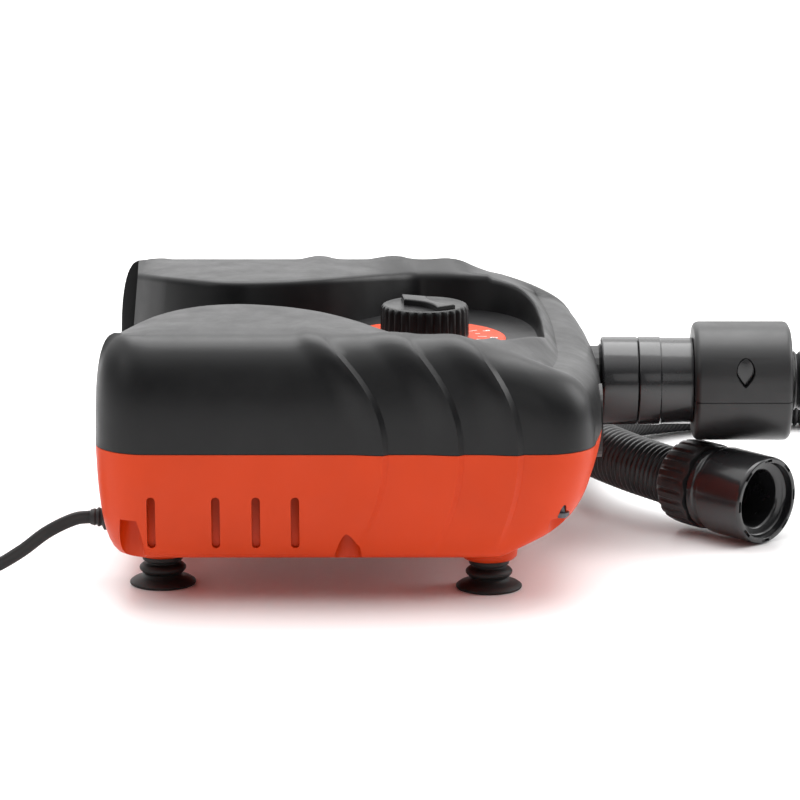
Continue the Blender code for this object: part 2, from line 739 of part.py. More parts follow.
def blower():
    at = (FAN_X, 0, FAN_Z)
    case = [(9, 58), (44, 58), (44, 96), (24, 96), (24, 93.4), (41.4, 93.4), (41.4, 60.6), (9, 60.6)]
    scroll = turned("blower_volute", case, NYLON, at, "Y", 40)
    join(scroll, block("volute_outlet", (24, 24, 24), (-1, DUCT_Y, FAN_Z), NYLON))
    cut(scroll, block("volute_passage", (50, 19, 19), (-4, DUCT_Y, FAN_Z), NYLON))
    axis = placed("blower_axis", (FAN_X, 75, FAN_Z))
    blades = 11
    star = []
    for k in range(blades):
        turn = 2 * math.pi * k / blades
        for radius, across in ((8, -0.9), (FAN_R - 1, -0.9), (FAN_R - 1, 0.9), (8, 0.9)):
            a = turn + math.asin(across / radius) + (0.35 if radius > 8 else 0)
            star.append((radius * math.cos(a), radius * math.sin(a)))
    fan = extruded("blower_impeller", star, 64, 88, NYLON, at, Matrix.Rotation(-math.pi / 2, 4, "X"))
    join(fan, rod("fan_disc", FAN_R, 62.4, 64.6, NYLON, at, "Y", 40))
    join(fan, rod("fan_shaft", 2.4, 46, 90, NYLON, at, "Y", 16))
    hang(fan, axis)
    motor = [(0, 20), (17, 20), (19, 22), (19, 57.4), (2.9, 57.4), (2.9, 45), (0, 45)]
    turned("blower_motor", motor, CAN, at, "Y", 32)
    start = [(11.6, DUCT_Y, FAN_Z), (26, DUCT_Y, FAN_Z), (46, 66, FAN_Z)]
    route = start + [(66, 50, PORT_Z), (83.4, PORT_Y, PORT_Z)]
    pipe("air_duct", smooth_route(route, 16), 11.0, 9.0, NYLON)


# ---------------------------------------------------------------- the compressor, in the near pod

SHAFT_Y, MOTOR_Z = -72.0, 53.0
PINION_PITCH_R, GEAR_PITCH_R = 6.4, 25.6
PINION_TEETH, GEAR_TEETH = 9, 36
TOOTH_RISE, TOOTH_DEPTH = 0.5, 1.6
CRANK_Z = MOTOR_Z + PINION_PITCH_R + GEAR_PITCH_R
CRANK_THROW = 7.0
BORE_X = -21.0


def toothed(teeth, pitch_radius):
    """A gear's outline, with a gap at angle 0 and, on an odd count of teeth, a tooth opposite."""
    tip = pitch_radius + TOOTH_RISE
    outline = []
    for k in range(teeth):
        for step, radius in ((0.5, tip - TOOTH_DEPTH), (1.35, tip), (2.65, tip), (3.5, tip - TOOTH_DEPTH)):
            a = 2 * math.pi * (k + step / 4) / teeth
            outline.append((radius * math.cos(a), radius * math.sin(a)))
    return outline


def compressor():
    low = (0, SHAFT_Y, MOTOR_Z)
    high = (0, SHAFT_Y, CRANK_Z)
    to_x = Matrix.Rotation(math.pi / 2, 4, "Y")
    motor = [(0, -96), (15.5, -96), (17.5, -94), (17.5, -40), (2.0, -40), (2.0, -53), (0, -53)]
    turned("compressor_motor", motor, CAN, low, "X", 32)
    pinion_axis = placed("pinion_axis", (-30, SHAFT_Y, MOTOR_Z))
    pinion = extruded("motor_pinion", toothed(PINION_TEETH, PINION_PITCH_R), -34, -26, BRASS, low, to_x)
    join(pinion, rod("pinion_shaft", 1.6, -52, -30, BRASS, low, "X", 12))
    hang(pinion, pinion_axis)
    crank_axis = placed("crank_axis", (-30, SHAFT_Y, CRANK_Z))
    gear = extruded("crank_gear", toothed(GEAR_TEETH, GEAR_PITCH_R), -34, -27, NYLON, high, to_x)
    pin_at = (0, SHAFT_Y, CRANK_Z - CRANK_THROW)
    join(gear, rod("crank_shaft", 2.8, -48, -30, NYLON, high, "X", 16))
    join(gear, rod("crank_pin", 3.0, -30, -14, NYLON, pin_at, "X", 16))
    hang(gear, crank_axis)
    plate = block("gearbox_plate", (3, 56, 88), (-37.6, SHAFT_Y, 71.5), ALLOY, 1.2, 1)
    cut(plate, rod("plate_hole_low", 7.6, -60, -20, ALLOY, low, "X", 24))
    cut(plate, rod("plate_hole_high", 3.2, -60, -20, ALLOY, high, "X", 16))
    centre = (BORE_X, 0, CRANK_Z)
    sleeve = [(10, -44.6), (13, -44.6), (13, -19), (14.4, -19), (14.4, -14.4), (10, -14.4)]
    turned("compressor_cylinder", sleeve, ALLOY, centre, "Y", 32)
    rod_end = [(0, -53), (3.4, -53), (3.4, -38.4)]
    crown = [(9.6, -38.4), (9.6, -36.4), (9.0, -36.4), (9.0, -35.2), (9.6, -35.2), (9.6, -31), (0, -31)]
    piston = turned("piston", rod_end + crown, ALLOY, centre, "Y", 28)
    hang(piston, placed("piston_axis", (BORE_X, -36, CRANK_Z)))
    head = block("cylinder_head", (28, 15, 28), (BORE_X, -6.6, CRANK_Z), ALLOY, 1.5, 1)
    for k in range(4):
        cut(head, block(f"fin_gap_{k}", (2.6, 9, 40), (BORE_X - 9.6 + 6.4 * k, 1, CRANK_Z), ALLOY))
    start = [(-5.9, -9, CRANK_Z), (6, -9, CRANK_Z - 2), (24, 10, 66)]
    route = start + [(52, 26, 58), (76, 40, 53.6), (90, 46, 53)]
    pipe("pressure_tube", smooth_route(route, 10), 2.6, 1.5, RUBBER, 8)


def circuit():
    board = block("control_board", (70, 60, 1.8), (30, -40, 36.5), BOARD)
    parts = (((14, 16, 12), (12, -50, 42.5)), ((10, 10, 14), (38, -54, 43.5)),
             ((16, 8, 9), (50, -28, 41)), ((8, 20, 7), (10, -24, 40)))
    for k, (size, at) in enumerate(parts):
        join(board, block(f"relay_{k}", size, at, BOARD))


# ---------------------------------------------------------------- the hose and its couplings

HOSE_ROUTE = (
    (222.4, 46, 76), (242, 46, 75.8), (268, 48, 73.5), (300, 57, 68), (331, 76, 60), (354, 104, 50),
    (367, 139, 40), (368, 177, 30), (358, 214, 22), (336, 245, 17.5), (305, 267, 15.6), (268, 278, 15.1),
    (228, 278, 15.1), (190, 268, 15.2), (157, 248, 16.2), (131, 219, 18.5), (116, 185, 22), (112, 151, 25.5),
    (118, 120, 27.6), (129, 94, 27.6), (144, 73, 26), (160, 56, 24.2),
)
FITTING_TURN = 46.0
FITTING_DIP = 1.5


def hose():
    at = (0, PORT_Y, PORT_Z)
    collar = [(18.9, 124.2), (21.6, 124.2), (COUPLING_R, 125), (COUPLING_R, 142.8), (18.9, 142.8)]
    turned("hose_collar", collar, BLACK, at, "X", 40)
    sleeve = [(17.0, 143.1), (COUPLING_R, 143.1), (COUPLING_R, 154)]
    adapter = sleeve + [(COUPLING_R - 0.5, 154.4), (COUPLING_R - 0.5, 170.7), (17.0, 170.7)]
    turned("hose_adapter", adapter, BLACK, at, "X", 40)
    middle = ((COUPLING_END + 171) / 2, PORT_Y, PORT_Z)
    box = block("coupling_box", (COUPLING_END - 171, 58, 59), middle, BLACK, 9, 4)
    cut(box, rod("box_bore", 14, 165, 214, BLACK, at, "X", 32))
    grip = [(6.0 * math.cos(math.pi * k / 6), 8.5 * math.sin(math.pi * k / 6)) for k in range(12)]
    recess_at = (197.6, PORT_Y - 29, 85)
    cut(box, extruded("box_recess", grip, -6, 6, BLACK, recess_at, Matrix.Rotation(math.pi / 2, 4, "X")))
    cord("air_hose", HOSE_ROUTE, HOSE_D, RUBBER)
    start = Vector(HOSE_ROUTE[-1])
    dip = Matrix.Rotation(math.radians(FITTING_DIP), 4, "Y")
    turn = Matrix.Rotation(-math.radians(FITTING_TURN), 4, "Z") @ dip
    socket = [(0, 2.6), (16.8, 2.6), (16.8, -9), (18.4, -9)]
    cuff = socket + [(19.6, -4), (21.3, 4), (21.9, 8), (21.9, 31), (0, 31)]
    waist = [(15.4, 31.4), (21.6, 31.4), (21.6, 36), (20.6, 36.6), (20.6, 38.4), (22.2, 39)]
    mouth = [(22.2, 66), (21.2, 67.5), (19.2, 67.5), (19.2, 63), (14.2, 61), (14.2, 42), (15.4, 42)]
    nozzle = waist + mouth
    for name, profile, steps in (("hose_cuff", cuff, 32), ("hose_nozzle", nozzle, 32)):
        piece = turned(name, profile, BLACK, (0, 0, 0), "X", steps)
        piece.data.transform(Matrix.Translation(start * MM) @ turn)


# ---------------------------------------------------------------- the 12 V lead

COIL_AT = (-243.0, -7.0)
COIL_R = 36.5
COIL_WIDTH, COIL_HEIGHT = 28.0, 27.0
LEAD_ROUTE = (
    (-127.8, LEAD_Y, LEAD_Z), (-136, LEAD_Y, 29.8), (-149, -60.6, 23.5), (-162, -61.8, 14),
    (-176, -63.6, 6.4), (-190, -65.2, 3.7), (-206, -65.6, 3.35), (-222, -64.4, 3.35), (-235, -63.4, 3.35),
)
TAIL_ROUTE = ((-299.0, 4, 3.35), (-299.4, 14, 3.6), (-299.6, 25, 6.2), (-299.6, 35, 9.2), (-299.6, 44, 10.9))


def lead():
    grip = LEAD_HOLE - GAP
    sleeve = [(0, -126.6), (3.9, -126.6), (4.7, -121.4), (6.4, -121.2), (6.4, -119.2)]
    grommet = sleeve + [(grip, -119.2), (grip, -106), (0, -106)]
    turned("lead_grommet", grommet, RUBBER, (0, LEAD_Y, LEAD_Z), "X", 20)
    cord("power_lead", LEAD_ROUTE, LEAD_D, RUBBER)
    inner, outer = COIL_R - COIL_WIDTH / 2, COIL_R + COIL_WIDTH / 2
    low, high = 0.1, COIL_HEIGHT
    ring = [(inner, low + 3), (inner + 3, low), (outer - 3, low), (outer, low + 3)]
    ring += [(outer, high - 3), (outer - 3, high), (inner + 3, high), (inner, high - 3)]
    turned("lead_coil", ring, RUBBER, (*COIL_AT, 0), steps=36)
    cord("lead_tail", TAIL_ROUTE, LEAD_D, RUBBER)
    at = (TAIL_ROUTE[-1][0], 0, TAIL_ROUTE[-1][2])
    near = TAIL_ROUTE[-1][1] + 1.4
    sleeve = [(0, near), (4.6, near), (6, near + 11), (9, near + 17), (10.6, near + 23), (10.6, near + 39)]
    barrel = [(9.2, near + 42), (9.2, near + 59), (7.4, near + 61), (4.6, near + 61), (4.6, near + 54)]
    turned("plug_body", sleeve + barrel + [(0, near + 54)], BLACK, at, "Y", 24)
    tip_axis = placed("tip_axis", (at[0], near + 61, at[2]))
    tip = [(0, near + 56.6), (4.2, near + 56.6), (4.2, near + 66), (2.4, near + 70), (0, near + 71)]
    hang(turned("plug_tip", tip, STEEL, at, "Y", 20), tip_axis)
    for side, name in ((-1, "left"), (1, "right")):
        block(f"plug_contact_{name}", (1.2, 14, 4), (at[0] + side * 10.2, near + 50, at[2]), STEEL, 0.4, 1)


# The whole model is set back, so that the origin is under the middle of the pump with its outlet.
ORIGIN_X = 7.85


lower_shell()
upper_shell()
dial_and_knob()
switch()
feet()
case_screws()
ports()
blower()
compressor()
circuit()
hose()
lead()

for piece in bpy.data.objects:
    if not piece.parent:
        piece.location.x -= ORIGIN_X * MM
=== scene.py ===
"""The looks of a 12 V inflator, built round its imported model: case, dial, knob, feet, hose and coiled lead.

Shapes are worked out in millimetres, with X forwards from the middle of the case, and are then set into the
row frame, whose origin is a little further forward.
"""

import json
import math

import bmesh
import bpy
from mathutils import Matrix, Vector


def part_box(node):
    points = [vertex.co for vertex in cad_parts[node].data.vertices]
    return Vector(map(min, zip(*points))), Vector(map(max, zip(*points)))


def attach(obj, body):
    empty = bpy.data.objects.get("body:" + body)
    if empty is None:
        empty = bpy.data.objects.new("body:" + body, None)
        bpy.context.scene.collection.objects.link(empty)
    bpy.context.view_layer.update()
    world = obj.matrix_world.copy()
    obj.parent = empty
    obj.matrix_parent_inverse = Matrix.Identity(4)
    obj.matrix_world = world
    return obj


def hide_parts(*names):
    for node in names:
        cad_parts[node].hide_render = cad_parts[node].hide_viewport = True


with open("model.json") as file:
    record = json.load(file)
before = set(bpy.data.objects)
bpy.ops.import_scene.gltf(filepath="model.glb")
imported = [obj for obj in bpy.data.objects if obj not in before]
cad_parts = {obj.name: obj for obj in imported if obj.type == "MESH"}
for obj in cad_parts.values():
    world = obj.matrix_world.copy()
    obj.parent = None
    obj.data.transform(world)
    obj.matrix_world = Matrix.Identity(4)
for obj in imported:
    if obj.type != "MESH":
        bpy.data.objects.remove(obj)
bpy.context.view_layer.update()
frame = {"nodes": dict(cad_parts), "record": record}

MM = 0.001
REAR_X = -122.3
ORIGIN_X = REAR_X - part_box("upper_shell")[0].x / MM


# ---------------------------------------------------------------- camera, floor and light

CAMERA_TARGET = Vector((22.5 - ORIGIN_X, 0, 75.9)) * MM
CAMERA_REACH, CAMERA_LENS = 2.06, 186.3
CAMERA_RISE = math.radians(12.4)
ROOM_DARK, ROOM_LIGHT = (0.035, 0.035, 0.036, 1), (1, 1, 1, 1)
ROOM_STRENGTH, ROOM_LEAN = 1.8, 0.45


def camera_and_stage():
    """The camera, a pale floor, softboxes, and a world that is white behind and shaded in reflections."""
    camera = bpy.data.objects.new("camera", bpy.data.cameras.new("camera"))
    camera.data.lens = CAMERA_LENS
    away = Vector((0, -math.cos(CAMERA_RISE), math.sin(CAMERA_RISE)))
    camera.location = CAMERA_TARGET + away * CAMERA_REACH
    camera.rotation_euler = away.to_track_quat("Z", "Y").to_euler()
    bpy.context.scene.collection.objects.link(camera)
    bpy.context.scene.camera = camera

    bpy.ops.mesh.primitive_plane_add(size=14)
    floor = bpy.context.object
    floor.name = "floor"
    paint = bpy.data.materials.new("floor_paint")
    paint.use_nodes = True
    shader = paint.node_tree.nodes["Principled BSDF"]
    shader.inputs["Base Color"].default_value = (0.93, 0.925, 0.925, 1)
    shader.inputs["Roughness"].default_value = 0.32
    shader.inputs["Specular IOR Level"].default_value = 0.35
    floor.data.materials.append(paint)

    world = bpy.data.worlds.new("studio")
    bpy.context.scene.world = world
    world.use_nodes = True
    tree = world.node_tree
    backdrop = tree.nodes["Background"]
    backdrop.inputs["Color"].default_value = (1, 1, 1, 1)
    room = tree.nodes.new("ShaderNodeBackground")
    room.inputs["Strength"].default_value = ROOM_STRENGTH
    way = tree.nodes.new("ShaderNodeSeparateXYZ")
    tree.links.new(tree.nodes.new("ShaderNodeTexCoord").outputs["Generated"], way.inputs["Vector"])
    height = tree.nodes.new("ShaderNodeMath")
    height.operation = "MULTIPLY_ADD"
    height.inputs[1].default_value = ROOM_LEAN
    tree.links.new(way.outputs["Y"], height.inputs[0])
    tree.links.new(way.outputs["Z"], height.inputs[2])
    shade = tree.nodes.new("ShaderNodeValToRGB")
    for stop, place, colour in zip(shade.color_ramp.elements, (0.15, 0.75), (ROOM_DARK, ROOM_LIGHT)):
        stop.position, stop.color = place, colour
    tree.links.new(height.outputs[0], shade.inputs["Fac"])
    tree.links.new(shade.outputs["Color"], room.inputs["Color"])
    choice = tree.nodes.new("ShaderNodeMixShader")
    tree.links.new(tree.nodes.new("ShaderNodeLightPath").outputs["Is Camera Ray"], choice.inputs[0])
    tree.links.new(room.outputs[0], choice.inputs[1])
    tree.links.new(backdrop.outputs[0], choice.inputs[2])
    tree.links.new(choice.outputs[0], tree.nodes["World Output"].inputs["Surface"])
    softboxes = (
        ("top_light", (0.1, 0.6, 1.9), (0.02, 0.05, 0.05), 1.8, 40),
        ("left_light", (-1.7, -1.0, 1.2), (0, 0, 0.06), 1.0, 4),
        ("right_light", (1.9, 0.5, 0.9), (0, 0, 0.08), 1.0, 13),
        ("front_light", (0.5, -2.2, 0.9), (0, 0, 0.06), 0.8, 2.5),
    )
    for name, at, towards, size, power in softboxes:
        light = bpy.data.lights.new(name, "AREA")
        light.size = size
        light.energy = power
        lamp = bpy.data.objects.new(name, light)
        lamp.location = at
        lamp.rotation_euler = (Vector(at) - Vector(towards)).to_track_quat("Z", "Y").to_euler()
        bpy.context.scene.collection.objects.link(lamp)
    bpy.context.scene.view_settings.view_transform = "Standard"


camera_and_stage()


# ---------------------------------------------------------------- materials

def linked(tree, kind, **inputs):
    """A node whose inputs are set from a value or from another node's output."""
    node = tree.nodes.new(kind)
    for name, value in inputs.items():
        socket = node.inputs[name.replace("_", " ")]
        if isinstance(value, bpy.types.NodeSocket):
            tree.links.new(value, socket)
        else:
            socket.default_value = value
    return node


def finish(name, colour, rough, grain=1500, bump=0.25, depth=0.00004, spread=0.06, metallic=0.0,
           mottle=0.08, coat=0.0, specular=0.5):
    """A moulded, cast or plated surface: fine grain, uneven gloss and a slight drift of colour."""
    made = bpy.data.materials.new(name)
    made.use_nodes = True
    tree = made.node_tree
    shader = tree.nodes["Principled BSDF"]
    shader.inputs["Metallic"].default_value = metallic
    shader.inputs["Coat Weight"].default_value = coat
    shader.inputs["Specular IOR Level"].default_value = specular
    place = tree.nodes.new("ShaderNodeTexCoord").outputs["Object"]
    drift = linked(tree, "ShaderNodeTexNoise", Vector=place, Scale=22.0, Detail=3.0)
    ramp = linked(tree, "ShaderNodeValToRGB", Fac=drift.outputs["Fac"])
    for stop, share in zip(ramp.color_ramp.elements, (1 - mottle, 1 + mottle)):
        stop.color = (*(min(1.0, c * share) for c in colour), 1)
    ramp.color_ramp.elements[0].position, ramp.color_ramp.elements[1].position = 0.35, 0.65
    tree.links.new(ramp.outputs["Color"], shader.inputs["Base Color"])
    handled = linked(tree, "ShaderNodeTexNoise", Vector=place, Scale=60.0, Detail=5.0, Roughness=0.65)
    gloss = linked(tree, "ShaderNodeMapRange", Value=handled.outputs["Fac"])
    reach = (("From Min", 0.3), ("From Max", 0.7), ("To Min", rough - spread), ("To Max", rough + spread))
    for socket, value in reach:
        gloss.inputs[socket].default_value = value
    tree.links.new(gloss.outputs["Result"], shader.inputs["Roughness"])
    fine = linked(tree, "ShaderNodeTexNoise", Vector=place, Scale=float(grain), Detail=2.0)
    relief = linked(tree, "ShaderNodeBump", Height=fine.outputs["Fac"], Strength=bump, Distance=depth)
    tree.links.new(relief.outputs["Normal"], shader.inputs["Normal"])
    return made


LOOKS = {
    "black_plastic": finish("satin_black", (0.0055, 0.0055, 0.006), 0.37, bump=0.35, depth=0.00005,
                            specular=0.32),
    "orange_plastic": finish("satin_orange", (0.6, 0.045, 0.0035), 0.42, mottle=0.035, bump=0.3,
                             specular=0.22),
    "black_rubber": finish("soft_rubber", (0.009, 0.0088, 0.0088), 0.6, grain=900, bump=0.4),
    "hose_plastic": finish("hose_black", (0.012, 0.012, 0.013), 0.36, grain=700, bump=0.2),
    "zinc_steel": finish("zinc", (0.13, 0.13, 0.14), 0.5, grain=600, metallic=1.0),
    "motor_can": finish("pressed_steel", (0.45, 0.45, 0.47), 0.36, grain=500, metallic=1.0),
    "white_nylon": finish("nylon", (0.72, 0.71, 0.66), 0.5, mottle=0.03),
    "cast_aluminium": finish("die_cast", (0.55, 0.55, 0.56), 0.5, grain=420, bump=0.5, metallic=1.0),
    "circuit_board": finish("solder_mask", (0.02, 0.16, 0.06), 0.35, grain=300, coat=0.4),
    "plated_brass": finish("brass", (0.7, 0.52, 0.22), 0.3, metallic=1.0),
    "red_lens": finish("lens", (0.5, 0.012, 0.012), 0.15, coat=0.6),
}
GLOSSY_BLACK = finish("gloss_black", (0.011, 0.011, 0.012), 0.24, bump=0.12, spread=0.05, coat=0.25)
FITTING_BLACK = finish("fitting_black", (0.011, 0.011, 0.0115), 0.42, grain=800, bump=0.3)
PRINT_WHITE = finish("dial_print", (0.9, 0.88, 0.85), 0.5, mottle=0.02)


# ---------------------------------------------------------------- making pieces

def set_in_frame(name, shape, look, sharp=35):
    """An object from a bmesh in millimetres, moved into the row frame."""
    bmesh.ops.recalc_face_normals(shape, faces=shape.faces)
    bmesh.ops.transform(shape, matrix=Matrix.Diagonal((MM, MM, MM, 1)), verts=shape.verts)
    bmesh.ops.translate(shape, vec=(-ORIGIN_X * MM, 0, 0), verts=shape.verts)
    mesh = bpy.data.meshes.new(name)
    shape.to_mesh(mesh)
    shape.free()
    mesh.shade_smooth()
    mesh.set_sharp_from_angle(angle=math.radians(sharp))
    made = bpy.data.objects.new(name, mesh)
    bpy.context.scene.collection.objects.link(made)
    mesh.materials.append(look)
    return made


def given(piece, body, slot, *nodes):
    """The piece rides on its body and stands for these CAD nodes; its slot argument is not used."""
    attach(piece, body)
    if nodes:
        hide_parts(*nodes)
    return piece


def lathe(profile, steps, matrix=Matrix()):
    """A turned bmesh from (radius, height) pairs, closed on the axis or on themselves."""
    shape = bmesh.new()
    rows = []
    for radius, height in profile:
        if radius < 1e-6:
            rows.append([shape.verts.new((0, 0, height))])
            continue
        angles = [2 * math.pi * k / steps for k in range(steps)]
        rows.append([shape.verts.new((radius * math.cos(a), radius * math.sin(a), height)) for a in angles])
    pairs = list(zip(rows, rows[1:])) + ([(rows[-1], rows[0])] if len(rows[0]) > 1 else [])
    for low, high in pairs:
        for k in range(steps):
            corners = [row[j % len(row)] for row, j in ((low, k), (low, k + 1), (high, k + 1), (high, k))]
            ring = list(dict.fromkeys(corners))
            if len(ring) > 2:
                shape.faces.new(ring)
    bmesh.ops.transform(shape, matrix=matrix, verts=shape.verts)
    return shape


def joined(shape, rings):
    """Faces between rings of equally many points, and one over each end."""
    count = len(rings[0])
    for low, high in zip(rings, rings[1:]):
        for k in range(count):
            after = (k + 1) % count
            shape.faces.new((low[k], low[after], high[after], high[k]))
    shape.faces.new(rings[0])
    shape.faces.new(list(reversed(rings[-1])))
    return shape


def standing(at, axis="Z"):
    """The matrix of a turned piece at this place, with its axis along Z or X."""
    turn = {"Z": Matrix(), "X": Matrix.Rotation(math.pi / 2, 4, "Y")}
    return Matrix.Translation(at) @ turn[axis]


def rounded(profile, radius=0.6, steps=3):
    """The profile with each corner between two long edges made round."""
    found = []
    last = len(profile) - 1
    for k, point in enumerate(profile):
        here = Vector(point)
        if k in (0, last):
            found.append(point)
            continue
        before, after = Vector(profile[k - 1]) - here, Vector(profile[k + 1]) - here
        room = min(radius, before.length * 0.45, after.length * 0.45)
        if room < 0.05 or before.angle(after) > math.radians(165):
            found.append(point)
            continue
        start, end = here + before.normalized() * room, here + after.normalized() * room
        for j in range(steps + 1):
            t = j / steps
            found.append(tuple(start * (1 - t) ** 2 + here * 2 * t * (1 - t) + end * t * t))
    return found


def prism(outline, low, high, matrix=Matrix(), bevel=0.0, segments=3):
    """An (x, y) outline extruded between two heights, with round edges if asked."""
    shape = bmesh.new()
    face = shape.faces.new([shape.verts.new((x, y, low)) for x, y in outline])
    grown = bmesh.ops.extrude_face_region(shape, geom=[face])
    moved = [v for v in grown["geom"] if isinstance(v, bmesh.types.BMVert)]
    bmesh.ops.translate(shape, verts=moved, vec=(0, 0, high - low))
    if bevel:
        top = [e for e in shape.edges if all(abs(v.co.z - high) < 1e-4 for v in e.verts)]
        bmesh.ops.bevel(shape, geom=top, offset=bevel, segments=segments, profile=0.5, affect="EDGES")
    bmesh.ops.transform(shape, matrix=matrix, verts=shape.verts)
    return shape


def rounded_block(size, at, bevel, segments=4):
    """A block round its middle, with round edges if asked."""
    shape = bmesh.new()
    bmesh.ops.create_cube(shape, size=1)
    bmesh.ops.scale(shape, vec=size, verts=shape.verts)
    if bevel:
        edges = shape.edges[:]
        bmesh.ops.bevel(shape, geom=edges, offset=bevel, segments=segments, profile=0.5, affect="EDGES")
    bmesh.ops.translate(shape, vec=at, verts=shape.verts)
    return shape


def keep_result(target, helpers):
    """Makes the result of the modifiers the object's own mesh, and removes the objects they used."""
    graph = bpy.context.evaluated_depsgraph_get()
    mesh = bpy.data.meshes.new_from_object(target.evaluated_get(graph))
    target.modifiers.clear()
    target.data = mesh
    for helper in helpers:
        bpy.data.objects.remove(helper)
    return mesh


def carve(target, cutters, how="DIFFERENCE", sharp=35):
    """Applies Booleans with these bmeshes, one after another, and keeps only the result."""
    helpers = []
    for k, shape in enumerate(cutters):
        helper = set_in_frame(f"{target.name}_cutter_{k}", shape, target.data.materials[0])
        modifier = target.modifiers.new(f"cut_{k}", "BOOLEAN")
        modifier.operation = how
        modifier.solver = "EXACT"
        modifier.object = helper
        helpers.append(helper)
    mesh = keep_result(target, helpers)
    mesh.shade_smooth()
    mesh.set_sharp_from_angle(angle=math.radians(sharp))


def cut_object(target, other):
    """Cuts one object from another and removes it."""
    modifier = target.modifiers.new("cut", "BOOLEAN")
    modifier.solver = "EXACT"
    modifier.object = other
    keep_result(target, [other])


# ---------------------------------------------------------------- the shape of the case, in millimetres

HALF_WIDTH = 120.0
FRONT_X = 122.5
PARTING = 76.0
LOWER_EDGE = PARTING - 0.3
CREST = 129.2
CREST_END, CREST_FALL = 60.0, 0.008
UNDERSIDE = 22.0
WALL = 2.8
CORNER = 26.0
FRONT_BOW = 7.0
FRONT_CORNER_Y = 94.0
DECK = 106.0
MOUTH_X = -112.0
WALL_DRAFT = 3.0
SHOULDER = 22.5
RIM_ROUND = 3.2
WELL_R, WELL_Y, WELL_TOP = 6.3, 110.6, 43.0
WELL_XS = (-104.0, -2.0, 99.0)
RIBS = (14.5, 50.0, 78.0)
RIB_RISE, RIB_FALL, RIB_DEPTH = 18.0, 2.6, 2.2
HUMP_REACH, HUMP_RISE, HUMP_BACK = 13.0, 1.5, 4.0
VENT_XS = (-95.0, -64.5, -45.5, -27.0)
VENT_Z, VENT_HEIGHT, VENT_WIDTH = 42.0, 26.0, 4.0
SLOT_Y, BAFFLE_Y = 116.0, 110.5
KNOB_X, KNOB_R, KNOB_Z, KNOB_HEIGHT = 34.7, 22.0, 108.6, 16.0
FLUTES, FLUTE_DEPTH = 30, 1.2
POINTER_TURN = 2.2
DIAL_RISE, TICKS, TICK_R, NUMBER_R, NUMBER_SIZE = 2.0, 24, 26.4, 32.6, 5.4
SWITCH_X, SWITCH_Y = 78.2, -22.0
LED_X, LED_Y = 84.0, -6.0
PORT_Y, PORT_Z, PORT_R = 46.0, 76.0, 17.8
COUPLING_R = 22.4
HOSE_D, LEAD_D = 30.0, 6.5
LEAD_Y, LEAD_Z, LEAD_HOLE = -60.0, 31.0, 5.2
FEET = {
    "rear_near": (-92.5, -68), "rear_far": (-92.5, 68), "front_near": (65.5, -76), "front_far": (65.5, 76),
}
FOOT_R, FOOT_TOP, PAD_Z = 16.0, 14.6, 15.0

UPPER_SIDE = (
    (0, 0), (0.5, 0.3), (1.5, 0.5), (3.6, 0.67), (7.2, 0.82), (11.8, 0.92), (16.8, 0.975), (SHOULDER, 1),
)
LOWER_SIDE = ((0, 0), (0.8, 0.3), (2, 0.52), (3.6, 0.7), (6, 0.85), (10, 0.96), (16, 1))


def smooth_through(knots, at):
    """A smooth curve through (x, y) knots in rising x that never overshoots them."""
    if at <= knots[0][0]:
        return knots[0][1]
    if at >= knots[-1][0]:
        return knots[-1][1]
    slopes = [(b[1] - a[1]) / (b[0] - a[0]) for a, b in zip(knots, knots[1:])]
    turns = [slopes[0]]
    for before, after in zip(slopes, slopes[1:]):
        turns.append(0 if before * after <= 0 else 2 * before * after / (before + after))
    turns.append(slopes[-1])
    for k, (a, b) in enumerate(zip(knots, knots[1:])):
        if at <= b[0]:
            width = b[0] - a[0]
            t = (at - a[0]) / width
            return (
                a[1] * (1 + 2 * t) * (1 - t) ** 2
                + b[1] * t * t * (3 - 2 * t)
                + width * (turns[k] * t * (1 - t) ** 2 - turns[k + 1] * t * t * (1 - t))
            )
    return knots[-1][1]


VALLEY = (
    (MOUTH_X, 76), (-103, 60), (-94, 47), (-82, 36), (-69, 29.5), (-56, 27.5), (-38, 31), (-18, 40.5),
    (2, 57), (18, 74), (34, 86), (60, 86),
)
RIB_LEAN = ((-96, 0), (-60, 8), (-20, 24), (14.5, 30.5), (50, 27), (78, 23), (90, 20))
NOSE = ((70, UNDERSIDE), (82, 28), (94, 34), (105, 42), (117, 53), (124, 60))
FRONT_RIM_Z = ((0, 112), (25, 114), (45, 118.5), (64, 122), (85, 123.4))
FRONT_SHOULDER_Z = ((0, 104.5), (45, 107), (90, 110.6))
CORNER_SHOULDER_Z = ((0, 111), (0.35, 114), (0.7, 118.5), (1, 122.7))
DECK_Z = ((MOUTH_X, 95), (-50, DECK), (100, DECK))
VALLEY_FRONT = (60.0, 86.0, 2.7)
VALLEY_CENTRE_X = 34.0
FRONT_FAN, CORNER_FAN = 48, 13
REAR_SQUEEZE = 0.45
CORNER_LEAN = 20
LEAN_POWER, LOWER_LEAN = 2.2, 0.62
SHOULDER_ROOM = SHOULDER + 4
RIB_FADE_FROM, RIB_FADE = 0.9, 0.15
POD_TOP, POD_FALL = 131.3, 0.0011
FLOOR_SHARES = (0.75, 0.5, 0.25, 0.0)
RIM_STEPS = 5


def rib_height(x):
    """How far a rib stands out at this place on the parting line."""
    for end in RIBS:
        if end - RIB_RISE < x <= end:
            t = (x - end + RIB_RISE) / RIB_RISE
            return RIB_DEPTH * t * t * (3 - 2 * t)
        if end < x < end + RIB_FALL:
            return RIB_DEPTH * (1 - (x - end) / RIB_FALL)
    return 0.0


def deck_height(x):
    """The valley floor, which falls away towards the open rear end."""
    return smooth_through(DECK_Z, x)


